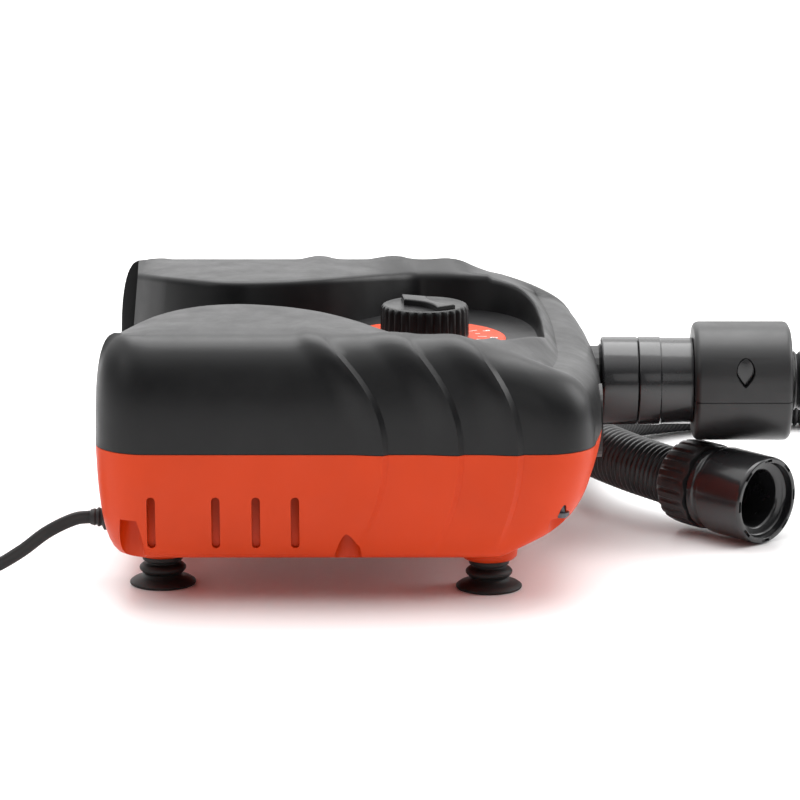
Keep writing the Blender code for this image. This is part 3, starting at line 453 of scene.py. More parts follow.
def front_rim(angle):
    """The front end of the valley's rim, from its middle (0) to its side (90 degrees)."""
    reach, side, power = VALLEY_FRONT
    c, s = math.cos(angle) ** (2 / power), math.sin(angle) ** (2 / power)
    return VALLEY_CENTRE_X + reach * c, side * s


def outline_front(y):
    """The front end's bow, in plan."""
    return FRONT_X - FRONT_BOW * (y / 95) ** 2.5


def hump_height(x):
    """How far a rib lifts the pod's top: a smooth wave, highest just behind the rib's line."""
    for end in RIBS:
        away = x - end + HUMP_BACK
        if abs(away) < HUMP_REACH:
            return HUMP_RISE * (0.5 + 0.5 * math.cos(math.pi * away / HUMP_REACH))
    return 0.0


class Station:
    """One line across the half case: from the valley's rim out to the parting line.

    Lean is how far back the side leans at its top, and room narrows the curve of the shoulder.
    """

    def __init__(self, rim, rim_z, edge, inward, shoulder_z, lean=0.0, rib=0.0, hump=0.0, room=1.0):
        self.rim, self.rim_z = Vector(rim), rim_z
        self.edge, self.inward = Vector(edge), Vector(inward).normalized()
        self.shoulder_z, self.lean, self.rib, self.hump = shoulder_z, lean, rib, hump
        self.room = room


def stations(front, corner, side_xs, rear_corner, ribbed=True):
    """The half case's stations from its front middle round to the rear end of the pod."""
    found = []
    for k in range(front):
        y = FRONT_CORNER_Y * k / front
        angle = math.radians(FRONT_FAN) * k / front
        rim = front_rim(angle) if k else (VALLEY_CENTRE_X + VALLEY_FRONT[0], 0)
        edge = (outline_front(y), y)
        shoulder = smooth_through(FRONT_SHOULDER_Z, y)
        found.append(Station(rim, smooth_through(FRONT_RIM_Z, rim[1]), edge, (-1, 0), shoulder))
    front_corner_x = outline_front(FRONT_CORNER_Y) - CORNER
    for k in range(corner):
        share = k / corner
        turn = math.pi / 2 * share
        rim = front_rim(math.radians(FRONT_FAN + CORNER_FAN * share))
        out = Vector((math.cos(turn), math.sin(turn)))
        edge = Vector((front_corner_x, FRONT_CORNER_Y)) + out * CORNER
        shoulder = smooth_through(CORNER_SHOULDER_Z, share)
        lean = CORNER_LEAN * share**2
        found.append(Station(rim, smooth_through(FRONT_RIM_Z, rim[1]), edge, -out, shoulder, lean))
    for x in side_xs:
        lean = smooth_through(RIB_LEAN, x)
        rim_x = x - lean
        if rim_x > VALLEY_CENTRE_X:
            reach, side, power = VALLEY_FRONT
            across = min(1.0, (rim_x - VALLEY_CENTRE_X) / reach)
            rim_y = side * (1 - across**power) ** (1 / power)
        else:
            rim_y = smooth_through(VALLEY, rim_x)
        rib, hump = (rib_height(x), hump_height(x)) if ribbed else (0.0, 0.0)
        rim_z = POD_TOP - POD_FALL * rim_y**2
        crest = CREST - CREST_FALL * max(0.0, x - CREST_END) ** 2
        edge = (x, HALF_WIDTH)
        found.append(Station((rim_x, rim_y), rim_z, edge, (0, -1), crest, lean, rib, hump))
    last_x = side_xs[-1]
    rear_corner_x = REAR_X + CORNER
    for k in range(1, rear_corner + 1):
        share = k / rear_corner
        turn = math.pi / 2 * (1 + share)
        rim_x = last_x + (MOUTH_X - last_x) * share
        rim = (rim_x, smooth_through(VALLEY, rim_x))
        out = Vector((math.cos(turn), math.sin(turn)))
        edge = Vector((rear_corner_x, HALF_WIDTH - CORNER)) + out * CORNER
        rim_z = POD_TOP - POD_FALL * rim[1] ** 2
        found.append(Station(rim, rim_z, edge, -out, CREST, room=1 - REAR_SQUEEZE * share))
    return found


def rim_normals(line):
    """For each station, the direction from the rim into the pod."""
    found = []
    for k in range(len(line)):
        before = line[max(k - 1, 0)].rim
        after = line[min(k + 1, len(line) - 1)].rim
        along = after - before
        if k == 0:
            along = Vector((0, 1))
        found.append(Vector((along.y, -along.x)).normalized() * (1 if along.length else 0))
    return found


def side_points(station, top, floor_z, inset, profile):
    """The side of the case at one station, from the parting line to its shoulder."""
    reach = (station.edge - station.rim).length - 2 * inset
    squeeze = min(1.0, reach / SHOULDER_ROOM) * station.room
    points = []
    for inward, share in profile:
        along = inset + inward * squeeze
        fade = 1.0 - RIB_FADE * max(0.0, share - RIB_FADE_FROM) / (1 - RIB_FADE_FROM)
        place = station.edge + station.inward * (along - station.rib * fade)
        place = place - Vector((station.lean * share**LEAN_POWER, 0))
        points.append((place.x, place.y, floor_z + share * (top - floor_z)))
    return points


def upper_section(station, normal, inset, profile):
    """Points from the parting line up over the pod and down to the foot of the valley's wall."""
    top = station.shoulder_z - inset + station.hump
    points = side_points(station, top, PARTING, inset, profile)
    shoulder = Vector(points[-1])
    rim = station.rim + normal * inset
    foot = rim - normal * WALL_DRAFT
    floor = deck_height(station.rim.x) - inset
    rim_top = Vector((rim.x, rim.y, station.rim_z - inset))
    low = Vector((foot.x, foot.y, floor))
    across, down = rim_top - shoulder, low - rim_top
    start = rim_top - across * min(0.8, RIM_ROUND / across.length)
    end = rim_top + down * min(0.8, RIM_ROUND / down.length)
    for share in (0.3, 0.6, 0.85):
        points.append(tuple(shoulder.lerp(start, share)))
    for k in range(RIM_STEPS + 1):
        t = k / RIM_STEPS
        points.append(tuple(start * (1 - t) ** 2 + rim_top * 2 * t * (1 - t) + end * t * t))
    points.append(tuple(low))
    return points


def grid(rows):
    """(points, faces) of a grid of equally long rows."""
    count = len(rows[0])
    points = [p for row in rows for p in row]
    faces = []
    for k in range(len(rows) - 1):
        for j in range(count - 1):
            a = k * count + j
            faces.append((a, a + 1, a + count + 1, a + count))
    return points, faces


def joined_grids(*parts):
    """(points, faces) of several grids as one."""
    points, faces = [], []
    for some, sides in parts:
        base = len(points)
        points += some
        faces += [tuple(k + base for k in side) for side in sides]
    return points, faces


def upper_surface(line, inset, profile):
    """(points, faces) of the half upper surface down to the parting line."""
    rows = [upper_section(s, n, inset, profile) for s, n in zip(line, rim_normals(line))]
    feet = [row[-1] for row in rows]
    # Across the open rear end of the valley, the floor runs out to the rear face.
    last = line[-1]
    squeeze = min(1.0, ((last.edge - last.rim).length - 2 * inset) / SHOULDER_ROOM) * last.room
    floor = deck_height(MOUTH_X) - inset
    for share in (1.0, *FLOOR_SHARES):
        y = (last.edge.y - WALL_DRAFT) * share
        row = [(REAR_X + inset + d * squeeze, y, PARTING + part * (floor - PARTING)) for d, part in profile]
        start = Vector(row[-1])
        end = Vector((feet[-1][0], feet[-1][1] * share, floor))
        steps = RIM_STEPS + 5
        row += [tuple(start.lerp(end, (k + 1) / steps)) for k in range(steps)]
        rows.append(row)
    # The valley floor runs from the foot of its wall to the middle.
    deck = [[(x, y * share, z) for share in (1.0, *FLOOR_SHARES)] for x, y, z in feet]
    return joined_grids(grid(rows), grid(deck))


def mirrored(points, faces):
    """The surface with its mirror image across the middle of the case."""
    count = len(points)
    both = points + [(x, -y, z) for x, y, z in points]
    return both, faces + [tuple(k + count for k in reversed(face)) for face in faces]


def finer(profile, steps):
    """The same side profile with more points, on a smooth curve through its own."""
    ins = [(k, inward) for k, (inward, _) in enumerate(profile)]
    ups = [(k, share) for k, (_, share) in enumerate(profile)]
    count = (len(profile) - 1) * steps
    return [(smooth_through(ins, k / steps), smooth_through(ups, k / steps)) for k in range(count + 1)]


def underside_height(x):
    """The flat underside, which turns up into the nose."""
    return smooth_through(NOSE, x)


def lower_surface(line, inset, profile):
    """(points, faces) of the half underside, from the parting line down and in to the middle."""
    rows = []
    for station in line:
        row = []
        for inward, share in profile:
            place = station.edge + station.inward * (inset + inward - station.rib * (1 - share**3))
            place = place - Vector((station.lean * LOWER_LEAN * share**2, 0))
            floor = underside_height(place.x) + inset
            row.append((place.x, place.y, LOWER_EDGE + share * (floor - LOWER_EDGE)))
        x, y, _ = row[-1]
        row += [(x, y * share, underside_height(x) + inset) for share in FLOOR_SHARES]
        rows.append(row)
    points, faces = grid(rows)
    rear = line[-1]
    ends = [rows[-1][: len(profile)]]
    for k, share in enumerate(FLOOR_SHARES):
        y = rear.edge.y * share
        depth = UNDERSIDE + inset - LOWER_EDGE
        row = [(REAR_X + inset + inward, y, LOWER_EDGE + part * depth) for inward, part in profile]
        row[-1] = rows[-1][len(profile) + k]
        ends.append(row)
    return joined_grids((points, faces), grid(ends))


def solid_case(name, points, faces, cap_z, look):
    """A closed case half from its open surface, capped at one height."""
    shape = bmesh.new()
    made = [shape.verts.new(p) for p in points]
    for face in faces:
        shape.faces.new([made[k] for k in face])
    bmesh.ops.remove_doubles(shape, verts=shape.verts, dist=0.02)
    bmesh.ops.dissolve_degenerate(shape, edges=shape.edges, dist=0.01)
    rim = [edge for edge in shape.edges if edge.is_boundary]
    if abs(rim[0].verts[0].co.z - cap_z) > 0.5:
        grown = bmesh.ops.extrude_edge_only(shape, edges=rim)["geom"]
        for vert in [v for v in grown if isinstance(v, bmesh.types.BMVert)]:
            vert.co.z = cap_z
        rim = [e for e in grown if isinstance(e, bmesh.types.BMEdge)]
    bmesh.ops.contextual_create(shape, geom=rim)
    return set_in_frame(name, shape, look, 28)


SIDE_XS = (
    88, 84, 80.6, 79.3, 78, 76, 74, 71.5, 69, 66.5, 64, 62, 60, 58, 56, 54.3, 52.6, 51.3, 50,
    48, 46, 43.5, 41, 38.5, 36, 34, 32, 28, 25, 21, 17.1, 15.8, 14.5,
    12.5, 10.5, 8, 5.5, 3, 0, -3.5, -8, -12, -17, -22, -28, -34, -40, -46, -52, -58, -64, -70, -76,
    -82, -88, -95,
)
INSIDE_XS = (88, 78, 68, 57, 46, 34, 22, 10, -2, -14, -28, -44, -60, -77, -95)


def case_shells():
    """Both halves of the case, hollow, with every hole and slot, and the baffles behind the slots."""
    outside = stations(18, 12, SIDE_XS, 12)
    inside = stations(10, 6, INSIDE_XS, 6, ribbed=False)
    side = finer(UPPER_SIDE, 2)
    black, orange = LOOKS["black_plastic"], LOOKS["orange_plastic"]

    shell = solid_case("case_top", *mirrored(*upper_surface(outside, 0.0, side)), PARTING, black)
    inner = mirrored(*upper_surface(inside, WALL, UPPER_SIDE))
    cut_object(shell, solid_case("case_top_hollow", *inner, PARTING - 2, black))
    shaft = cylinder(4.2, 90, 115, standing((KNOB_X, 0, 0)), 32)
    window = rounded_block((9.4, 14.4, 20), (SWITCH_X, SWITCH_Y, DECK), 0)
    lens = cylinder(1.9, 90, 130, standing((LED_X, LED_Y, 0)), 24)
    carve(shell, [*port_cutters(), shaft, window, lens], sharp=28)
    given(shell, "case", "black_plastic", "upper_shell")

    outer = mirrored(*lower_surface(outside, 0.0, finer(LOWER_SIDE, 2)))
    lower = solid_case("case_bottom", *outer, LOWER_EDGE, orange)
    inner = mirrored(*lower_surface(inside, WALL, LOWER_SIDE))
    below = solid_case("case_bottom_hollow", *inner, PARTING + 2, orange)
    wells = [standing((x, y, 0)) for y in (-WELL_Y, WELL_Y) for x in WELL_XS]
    carve(below, [cylinder(9, 10, PARTING + 5, at, 32) for at in wells], sharp=28)
    cut_object(lower, below)
    pads = []
    for x, y in FEET.values():
        top = underside_height(x) + 1.5
        pad = [(0, PAD_Z), (12.2, PAD_Z), (13.4, PAD_Z + 1.2), (14.5, top), (0, top)]
        pads.append(lathe(pad, 48, standing((x, y, 0))))
    carve(lower, pads, "UNION", 28)
    well = [(0, 0), (WELL_R, 0), (WELL_R, WELL_TOP), (2.2, WELL_TOP), (2.2, 90), (0, 90)]
    cutters = [lathe(well, 40, at) for at in wells]
    cutters += [cylinder(1.7, 5, 30, standing((x, y, 0)), 20) for x, y in FEET.values()]
    upright = Matrix.Rotation(math.pi / 2, 4, "X")
    slots = [Matrix.Translation((x, y, VENT_Z)) @ upright for y in (-SLOT_Y, SLOT_Y) for x in VENT_XS]
    cutters += [prism(slot_outline(), -8, 8, at) for at in slots]
    cutters += port_cutters()
    cutters.append(cylinder(LEAD_HOLE, -135, -100, standing((0, LEAD_Y, LEAD_Z), "X"), 32))
    carve(lower, cutters, sharp=28)
    given(lower, "case", "orange_plastic", "lower_shell")
    for side, y in (("near", -BAFFLE_Y), ("far", BAFFLE_Y)):
        baffle = rounded_block((78, 1.6, 34), (-60, y, VENT_Z), 0.4, 2)
        given(set_in_frame(f"slot_baffle_{side}", baffle, orange), "case", "orange_plastic")


def cylinder(radius, low, high, matrix, steps):
    """A plain cylinder between two heights."""
    return lathe([(0, low), (radius, low), (radius, high), (0, high)], steps, matrix)


def port_cutters():
    """The two round holes in the front, for the outlet and the inlet."""
    return [cylinder(PORT_R + 0.5, 88, 140, standing((0, y, PORT_Z), "X"), 48) for y in (-PORT_Y, PORT_Y)]


def slot_outline():
    """One vent slot: two straight sides with half-round ends."""
    reach, half = (VENT_HEIGHT - VENT_WIDTH) / 2, VENT_WIDTH / 2
    outline = []
    for turn, lift in ((0, 1), (math.pi, -1)):
        for k in range(9):
            a = turn + math.pi * k / 8
            outline.append((half * math.cos(a), lift * reach + half * math.sin(a)))
    return outline


case_shells()


# ---------------------------------------------------------------- the dial and the knob

def dial_print():
    """Ticks and the numbers 1 to 12 round the knob."""
    top = DECK + DIAL_RISE
    shape = bmesh.new()
    for k in range(TICKS):
        turn = Matrix.Rotation(2 * math.pi * (k + 0.1) / TICKS, 4, "Z")
        length = 4.4 if k % 2 == 0 else 2.4
        tick = rounded_block((length, 0.5, 0.12), (TICK_R + length / 2, 0, top + 0.03), 0)
        bmesh.ops.transform(tick, matrix=Matrix.Translation((KNOB_X, 0, 0)) @ turn, verts=tick.verts)
        spare = bpy.data.meshes.new("tick")
        tick.to_mesh(spare)
        tick.free()
        shape.from_mesh(spare)
    graph = bpy.context.evaluated_depsgraph_get()
    for number in range(1, 13):
        text = bpy.data.curves.new("number", "FONT")
        text.body = str(number)
        text.size = NUMBER_SIZE
        text.extrude = 0.05
        text.align_x = "CENTER"
        holder = bpy.data.objects.new("number", text)
        bpy.context.scene.collection.objects.link(holder)
        graph.update()
        spare = bpy.data.meshes.new_from_object(holder.evaluated_get(graph))
        turn = Matrix.Rotation(math.radians(30 * (number - 8) - 4), 4, "Z")
        at = Matrix.Translation((KNOB_X, 0, top + 0.04)) @ turn @ Matrix.Translation((NUMBER_R, 0, 0))
        spare.transform(at @ Matrix.Rotation(-math.pi / 2, 4, "Z"))
        shape.from_mesh(spare)
        bpy.data.objects.remove(holder)
    given(set_in_frame("dial_numbers", shape, PRINT_WHITE), "case", "orange_plastic")


def knob():
    """The fluted grip with its dished top, and the pointer."""
    steps = 8
    count = FLUTES * steps
    turns = [2 * math.pi * k / count for k in range(count)]
    low, high = KNOB_Z, KNOB_Z + KNOB_HEIGHT
    rows = ((low, 0.0, 0.0), (low + 0.6, 0.5, 0.0), (low + 1.5, 0.5, 1.0), (high - 2.6, 0.3, 1.0),
            (high - 1.2, 0.0, 0.7), (high - 0.4, -0.6, 0.3), (high, -1.6, 0.0))
    shape = bmesh.new()
    rings = []
    for z, out, depth in rows:
        ring = []
        for k, turn in enumerate(turns):
            wave = 0.5 - 0.5 * math.cos(2 * math.pi * k / steps)
            radius = KNOB_R - 0.6 + out - FLUTE_DEPTH * depth * wave**1.6
            ring.append(shape.verts.new((radius * math.cos(turn), radius * math.sin(turn), z)))
        rings.append(ring)
    # The dished top
    for radius, z in ((18.6, high - 0.5), (17.6, high - 0.9), (9, high - 1.0)):
        rings.append([shape.verts.new((radius * math.cos(a), radius * math.sin(a), z)) for a in turns])
    for a, b in zip(rings, rings[1:]):
        for k in range(count):
            shape.faces.new((a[k], a[(k + 1) % count], b[(k + 1) % count], b[k]))
    shape.faces.new(rings[-1])
    shape.faces.new(list(reversed(rings[0])))
    bmesh.ops.translate(shape, vec=(KNOB_X, 0, 0), verts=shape.verts)
    grip = set_in_frame("knob_grip", shape, LOOKS["black_plastic"], 40)
    given(grip, "knob", "black_plastic", "pressure_knob")

    # The pointer on top: a waisted bar that ends in an arrowhead
    edge = []
    for k in range(13):
        t = k / 12
        edge.append((-18 + 24 * t, 2.0 + 3.4 * (2 * t - 1) ** 2))
    arrow = edge + [(8, 6.8), (19.4, 0)] + [(x, -y) for x, y in reversed([*edge, (8, 6.8)])]
    turned = Matrix.Translation((KNOB_X, 0, 0)) @ Matrix.Rotation(POINTER_TURN, 4, "Z")
    bar = prism(arrow, high - 1.4, high + 2.1, turned, 0.9)
    pointer = set_in_frame("knob_pointer", bar, LOOKS["black_plastic"], 40)
    given(pointer, "knob", "black_plastic")


dial_print()
knob()


# ---------------------------------------------------------------- the feet

def feet():
    """A suction cup, a bellows, a flange and a bore for the screw, all turned in one."""
    cup = [(3.6, 0.02), (FOOT_R - 0.6, 0.02), (FOOT_R, 0.6), (FOOT_R, 1.4), (14.2, 2.7), (10.4, 3.9)]
    bellows = [(8.8, 5.2), (10.2, 6.2), (11.3, 7.6), (11.3, 8.8), (10.0, 10.0), (8.0, 10.6), (7.9, 11.3)]
    flange = [(9.6, 12.1), (9.8, 13), (9.8, FOOT_TOP)]
    bore = [(1.75, FOOT_TOP), (1.75, 5), (3.6, 5)]
    profile = cup + bellows + flange + bore
    for name, (x, y) in FEET.items():
        shape = lathe(rounded(profile, 0.5, 2), 64, standing((x, y, 0)))
        piece = set_in_frame(f"suction_foot_{name}", shape, LOOKS["black_rubber"], 40)
        given(piece, "case", "black_rubber", f"foot_{name}")


feet()


# ---------------------------------------------------------------- the hose and its fittings

def smooth_route(points, spacing):
    """Points at even spacing along a smooth curve through the route's own points."""
    points = [Vector(p) for p in points]
    ends = [2 * points[0] - points[1], *points, 2 * points[-1] - points[-2]]
    fine = []
    for a, b, c, d in zip(ends, ends[1:], ends[2:], ends[3:]):
        for k in range(24):
            t = k / 24
            bend = (2 * a - 5 * b + 4 * c - d) * t**2 + (3 * b - a - 3 * c + d) * t**3
            fine.append(0.5 * (2 * b + (c - a) * t + bend))
    fine.append(points[-1])
    reach = [0.0]
    for a, b in zip(fine, fine[1:]):
        reach.append(reach[-1] + (b - a).length)
    count = max(2, round(reach[-1] / spacing))
    found = []
    k = 0
    for step in range(count + 1):
        want = reach[-1] * step / count
        while k < len(reach) - 2 and reach[k + 1] < want:
            k += 1
        share = (want - reach[k]) / (reach[k + 1] - reach[k])
        found.append(fine[k].lerp(fine[k + 1], min(1.0, share)))
    return found


HOSE_ROUTE = (
    (222.4, 46, 76), (242, 46, 75.8), (268, 48, 73.5), (300, 57, 68), (331, 76, 60), (354, 104, 50),
    (367, 139, 40), (368, 177, 30), (358, 214, 22), (336, 245, 17.5), (305, 267, 15.6),
    (268, 278, 15.1), (228, 278, 15.1), (190, 268, 15.2), (157, 248, 16.2), (131, 219, 18.5),
    (116, 185, 22), (112, 151, 25.5), (118, 120, 27.6), (129, 94, 27.6), (144, 73, 26), (160, 56, 24.2),
)
FITTING_TURN, FITTING_DIP = 46.0, 1.5
HOSE_PITCH, HOSE_GROOVE = 3.2, 1.5
CUFF_RIBS, CUFF_GROOVE = 24, 0.75
SCALLOPS, SCALLOP_DEPTH = 12, 1.4
NOZZLE_SLOTS = 8


def swept(name, path, outline_at, look, sharp=40):
    """A mesh tube along a path, with its cross-section given as (side, up) points for each step."""
    shape = bmesh.new()
    rings = []
    for k, point in enumerate(path):
        along = (path[min(k + 1, len(path) - 1)] - path[max(k - 1, 0)]).normalized()
        side = along.cross(Vector((0, 0, 1))).normalized()
        rise = side.cross(along)
        rings.append([shape.verts.new(point + side * u + rise * v) for u, v in outline_at(k)])
    return set_in_frame(name, joined(shape, rings), look, sharp)


def in_frame(point):
    """A point in millimetres as the row frame's, in metres."""
    return ((point[0] - ORIGIN_X) * MM, point[1] * MM, point[2] * MM)


def hose():
    """The corrugated hose, whose end runs straight on for a few corrugations inside the cuff."""
    samples, sides, ridges_inside = 6, 32, 3
    spacing = HOSE_PITCH / samples
    path = smooth_route(HOSE_ROUTE, spacing)
    ahead = (path[-1] - path[-2]).normalized()
    path += [path[-1] + ahead * spacing * k for k in range(1, ridges_inside * samples + 1)]
    circle = [(math.cos(2 * math.pi * k / sides), math.sin(2 * math.pi * k / sides)) for k in range(sides)]

    def ridge(k):
        wave = (0.5 + 0.5 * math.cos(2 * math.pi * k / samples)) ** 0.7
        radius = HOSE_D / 2 - HOSE_GROOVE + HOSE_GROOVE * wave
        return [(radius * u, radius * v) for u, v in circle]

    tube = swept("corrugated_hose", path, ridge, LOOKS["hose_plastic"], 70)
    given(tube, "case", "hose_plastic", "air_hose")
    return tube, [in_frame(p) for p in path[::samples] + [path[-1]]]


def fitting_matrix():
    """From a turned fitting's own axis to the hose's far end."""
    dip = Matrix.Rotation(math.radians(FITTING_DIP), 4, "Y")
    turn = Matrix.Rotation(-math.radians(FITTING_TURN), 4, "Z") @ dip
    return Matrix.Translation(HOSE_ROUTE[-1]) @ turn @ Matrix.Rotation(math.pi / 2, 4, "Y")


def cuff_and_nozzle():
    """The ribbed cuff with its scalloped edge, and the hollow nozzle that turns in it."""
    per_rib = 6
    steps = CUFF_RIBS * per_rib
    rows = ((15.4, 8.4, 0), (17.4, 8.2, 0), (18.2, 9.6, 0), (19.6, 10.4, 0.3), (20.9, 11.6, 1),
            (21.4, 14, 1), (21.8, 18, 1), (21.9, 23, 1), (21.9, 26.5, 1), (21.9, 28.2, 0.3),
            (21.9, 28.8, 0))
    shape = bmesh.new()
    rings = []
    for radius, z, rib in rows:
        ring = []
        for k in range(steps):
            turn = 2 * math.pi * k / steps
            groove = 1.0 if k % per_rib in (0, 1) else 0.0
            r = radius - CUFF_GROOVE * rib * groove
            ring.append(shape.verts.new((r * math.cos(turn), r * math.sin(turn), z)))
        rings.append(ring)
    # The scalloped front edge
    for radius, lift in ((21.9, 30.6), (20.6, 30.9), (15.6, 30.9)):
        ring = []
        for k in range(steps):
            turn = 2 * math.pi * k / steps
            wave = SCALLOP_DEPTH * (0.5 - 0.5 * math.cos(turn * SCALLOPS)) if radius > 18 else 0.0
            ring.append(shape.verts.new((radius * math.cos(turn), radius * math.sin(turn), lift - wave)))
        rings.append(ring)
    joined(shape, rings)
    bmesh.ops.transform(shape, matrix=fitting_matrix(), verts=shape.verts)
    cuff = set_in_frame("ribbed_cuff", shape, FITTING_BLACK, 32)
    given(cuff, "case", "black_plastic", "hose_cuff")

    waist = [(15.4, 31.4), (21.2, 31.4), (21.2, 34.6), (20.2, 35.4), (20.2, 38.2), (22.0, 38.8), (22.2, 40)]
    mouth = [(22.2, 66), (21.5, 67.5), (19.4, 67.5), (19.2, 66.8), (19.2, 63.2), (18.4, 62.4), (15.2, 61.6)]
    bore = [(14.2, 60.6), (14.2, 42), (15.4, 42)]
    profile = rounded(waist + mouth + bore, 0.5)
    nozzle = set_in_frame("hose_end_nozzle", lathe(profile, 96, fitting_matrix()), GLOSSY_BLACK, 40)
    slots = []
    for k in range(NOZZLE_SLOTS):
        turn = Matrix.Rotation(2 * math.pi * k / NOZZLE_SLOTS, 4, "Z")
        slot = rounded_block((1.4, 5.5, 2.6), (20.5, 0, 67.4), 0)
        bmesh.ops.transform(slot, matrix=fitting_matrix() @ turn, verts=slot.verts)
        slots.append(slot)
    carve(nozzle, slots, sharp=40)
    given(nozzle, "case", "black_plastic", "hose_nozzle")
    return cuff, nozzle


COUPLING_X = 195.5
COUPLING_SIZE, COUPLING_BEVEL, COUPLING_CORNER = (58, 59, 49), 3.2, 25.0
SEAM_WIDTH, SEAM_DEPTH, SEAM_DROP = 0.9, 1.0, 5.4
TEAR_WIDTH, TEAR_HEIGHT, TEAR_TAPER = 4.8, 7.4, 0.62


def couplings():
    """The collar on the outlet's thread, the adapter behind it and the box-shaped quick coupling."""
    at = standing((0, PORT_Y, PORT_Z), "X")
    collar = [(18.9, 124.2), (21.4, 124.2), (COUPLING_R, 125.2), (COUPLING_R, 142.4), (21.9, 142.8),
              (18.9, 142.8)]
    ring = set_in_frame("screw_collar", lathe(rounded(collar, 0.7), 96, at), GLOSSY_BLACK, 40)
    given(ring, "case", "black_plastic", "hose_collar")
    sleeve = [(17.0, 143.1), (21.9, 143.1), (COUPLING_R, 143.6), (COUPLING_R, 154), (21.9, 154.5),
              (21.9, 170.7), (17.0, 170.7)]
    tube = set_in_frame("adapter_sleeve", lathe(rounded(sleeve, 0.4), 96, at), GLOSSY_BLACK, 40)
    given(tube, "case", "black_plastic", "hose_adapter")

    box = set_in_frame("coupling_shell", coupling_form(*COUPLING_SIZE, COUPLING_BEVEL), FITTING_BLACK, 40)
    bore = lathe([(0, 165), (14, 165), (14, 214), (0, 214)], 64, at)
    tear = []
    for k in range(28):
        a = 2 * math.pi * k / 28
        taper = 1 - TEAR_TAPER * max(0, -math.sin(a)) ** 1.5
        tear.append((TEAR_WIDTH * math.cos(a) * taper, TEAR_HEIGHT * math.sin(a)))
    button_at = Matrix.Translation((COUPLING_X + 0.5, PORT_Y - 29, 85.5))
    upright = button_at @ Matrix.Rotation(math.pi / 2, 4, "X")
    # The seam is a groove: a thin slab less a slightly smaller coupling
    slab = rounded_block((60, 70, SEAM_WIDTH), (COUPLING_X, PORT_Y, PORT_Z - SEAM_DROP), 0)
    seam = set_in_frame("coupling_seam", slab, FITTING_BLACK)
    carve(seam, [coupling_form(*(side - SEAM_DEPTH for side in COUPLING_SIZE), 3)])
    carve(box, [bore, prism(tear, -5, 6, upright)], sharp=40)
    cut_object(box, seam)
    box.data.shade_smooth()
    box.data.set_sharp_from_angle(angle=math.radians(40))
    given(box, "case", "black_plastic", "coupling_box")
    button = prism([(x * 0.97, y * 0.97) for x, y in tear], -4.9, -3.4, upright, 0.6)
    given(set_in_frame("release_button", button, GLOSSY_BLACK, 50), "case", "black_plastic")


def coupling_form(wide, tall, long, bevel):
    """A square with large round corners, drawn out along the hose's axis, with small round ends."""
    radius = COUPLING_CORNER
    outline = []
    for k, (sy, sz) in enumerate(((1, 1), (-1, 1), (-1, -1), (1, -1))):
        for j in range(13):
            a = math.pi / 2 * (k + j / 12)
            outline.append((sy * (wide / 2 - radius) + radius * math.cos(a),
                            sz * (tall / 2 - radius) + radius * math.sin(a)))
    shape = bmesh.new()
    rings = []
    steps = [(long / 2 - bevel + bevel * math.sin(b), bevel * (1 - math.cos(b)))
             for b in (math.pi / 2 * k / 5 for k in range(6))]
    levels = [(-x, inset) for x, inset in reversed(steps)] + steps
    for x, inset in levels:
        ring = []
        for y, z in outline:
            ring.append(shape.verts.new((COUPLING_X + x, PORT_Y + y * (1 - inset / wide * 2),
                                         PORT_Z + z * (1 - inset / tall * 2))))
        rings.append(ring)
    return joined(shape, rings)


hose_tube, hose_path = hose()
hose_fittings = cuff_and_nozzle()
couplings()


# ---------------------------------------------------------------- the lead, its coil and its plug

COIL_AT = (-243.0, -7.0)
COIL_R, COIL_START = 38.0, -90.0
COIL_TURNS, COIL_LAYERS, COIL_STEP = 3, 4, 6.6
COIL_LOW = LEAD_D / 2 + 0.1
COIL_HIGH = COIL_LOW + (COIL_LAYERS - 1) * COIL_STEP
CLIMB_SHARE = 0.3
LEAD_CORE = 1.72
LEAD_ROUTE = (
    (-127.8, LEAD_Y, LEAD_Z), (-136, LEAD_Y, 29.8), (-149, -60.6, 23.5), (-162, -61.8, 14),
    (-176, -63.6, 6.4), (-190, -65.2, 3.7), (-206, -65.6, 3.35),
)
TAIL_ROUTE = ((-299.4, 14, 3.6), (-299.6, 25, 6.2), (-299.6, 35, 9.2), (-299.6, 44, 10.9))
ONTO_COIL = ((-222, -63.6, 3.35), (-238, -60, 3.35), (-252.5, -54.3, 3.35))


def coil_points():
    """Four layers of three turns, wound inwards and outwards in turn, clockwise from above."""
    per_turn = 24
    count = COIL_TURNS * COIL_LAYERS * per_turn - 3
    points = []
    for k in range(2, count):
        travelled = k / per_turn
        layer = min(COIL_LAYERS - 1, int(travelled / COIL_TURNS))
        within = travelled - layer * COIL_TURNS
        spread = COIL_TURNS / 2 - within if layer % 2 == 0 else within - COIL_TURNS / 2
        climb = 0.0
        if layer < COIL_LAYERS - 1 and within > COIL_TURNS - CLIMB_SHARE:
            t = (within - COIL_TURNS + CLIMB_SHARE) / CLIMB_SHARE
            climb = t * t * (3 - 2 * t)
        height = COIL_LOW + COIL_STEP * (layer + climb)
        points.append(round_coil(COIL_START - 360 * travelled, COIL_R + COIL_STEP * spread, height))
    return points


def round_coil(degrees, radius, z):
    """A point at this angle and distance from the coil's middle."""
    angle = math.radians(degrees)
    return COIL_AT[0] + radius * math.cos(angle), COIL_AT[1] + radius * math.sin(angle), z


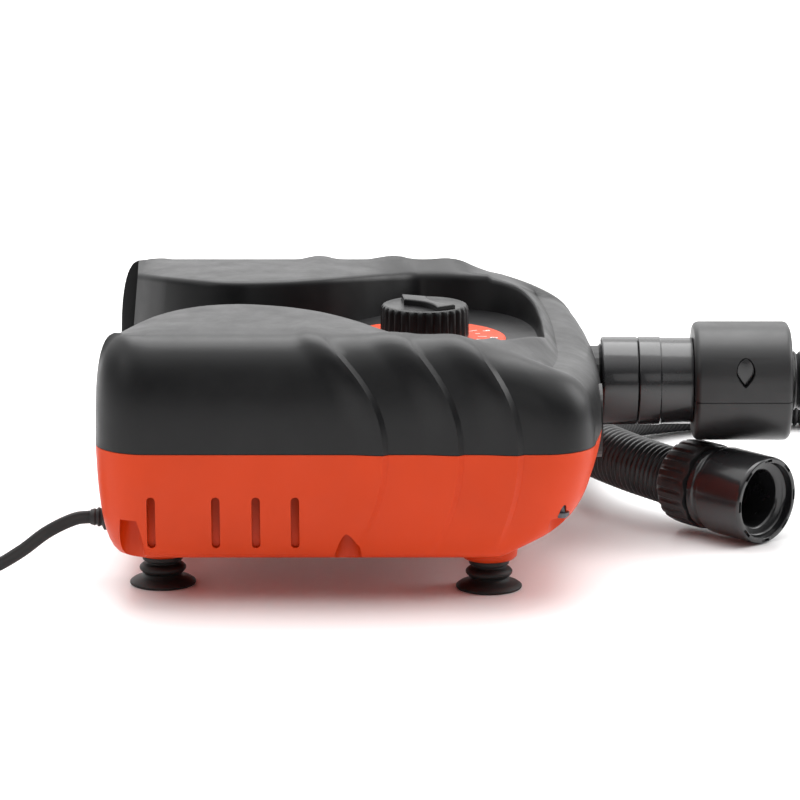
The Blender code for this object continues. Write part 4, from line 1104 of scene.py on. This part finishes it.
def lead_path():
    """The whole lead: out of the case, along the floor, round the coil and up into the plug."""
    off_coil = ((-46, 46.9, COIL_HIGH), (-62, 48.6, COIL_HIGH), (-88, 50.2, COIL_HIGH),
                (-112, 52.4, COIL_HIGH - 0.4), (-132, 54.6, COIL_HIGH - 3.6), (-150, 56.2, 12),
                (-166, 57.2, 6.4), (-180, 57.3, 4.0))
    off = [round_coil(*point) for point in off_coil]
    return smooth_route([*LEAD_ROUTE, *ONTO_COIL, *coil_points(), *off, *TAIL_ROUTE], 1.6)


def lead():
    """The twin lead, one strand above the other, and the ribbed strain relief where it leaves the case."""
    path = lead_path()
    core, gap = LEAD_CORE, LEAD_D / 2 - LEAD_CORE
    outline = []
    for lift, first in ((gap, -30), (-gap, 150)):
        for k in range(9):
            a = math.radians(first + 240 * k / 8)
            outline.append((core * math.cos(a), lift + core * math.sin(a)))
    wire = swept("twin_lead", path, lambda k: outline, LOOKS["black_rubber"], 60)
    given(wire, "case", "black_rubber", "power_lead", "lead_coil", "lead_tail")

    relief = [(0, -127.9), (3.6, -127.9), (4.3, -125.6), (3.9, -125.2), (3.9, -124.6), (4.7, -124.2),
              (4.7, -123.2), (4.2, -122.8), (4.2, -122.2), (5.2, -121.8), (6.4, -121.2), (6.4, -119.2),
              (4.9, -119.0), (4.9, -106), (0, -106)]
    shape = lathe(rounded(relief, 0.3, 2), 48, standing((0, LEAD_Y, LEAD_Z), "X"))
    sleeve = set_in_frame("strain_relief", shape, LOOKS["black_rubber"], 40)
    given(sleeve, "case", "black_rubber", "lead_grommet")
    return wire, sleeve, [in_frame(p) for p in path]


lead_tube, lead_sleeve, lead_line = lead()


# ---------------------------------------------------------------- the CAD nodes that stay

def dress_nodes():
    """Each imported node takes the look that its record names."""
    slots = {part["node"]: part["material_slot"] for part in frame["record"]["subparts"]}
    for name, node in frame["nodes"].items():
        node.data.materials.clear()
        node.data.materials.append(LOOKS[slots[name]])
        node.data.shade_smooth()
        node.data.set_sharp_from_angle(angle=math.radians(30))


dress_nodes()
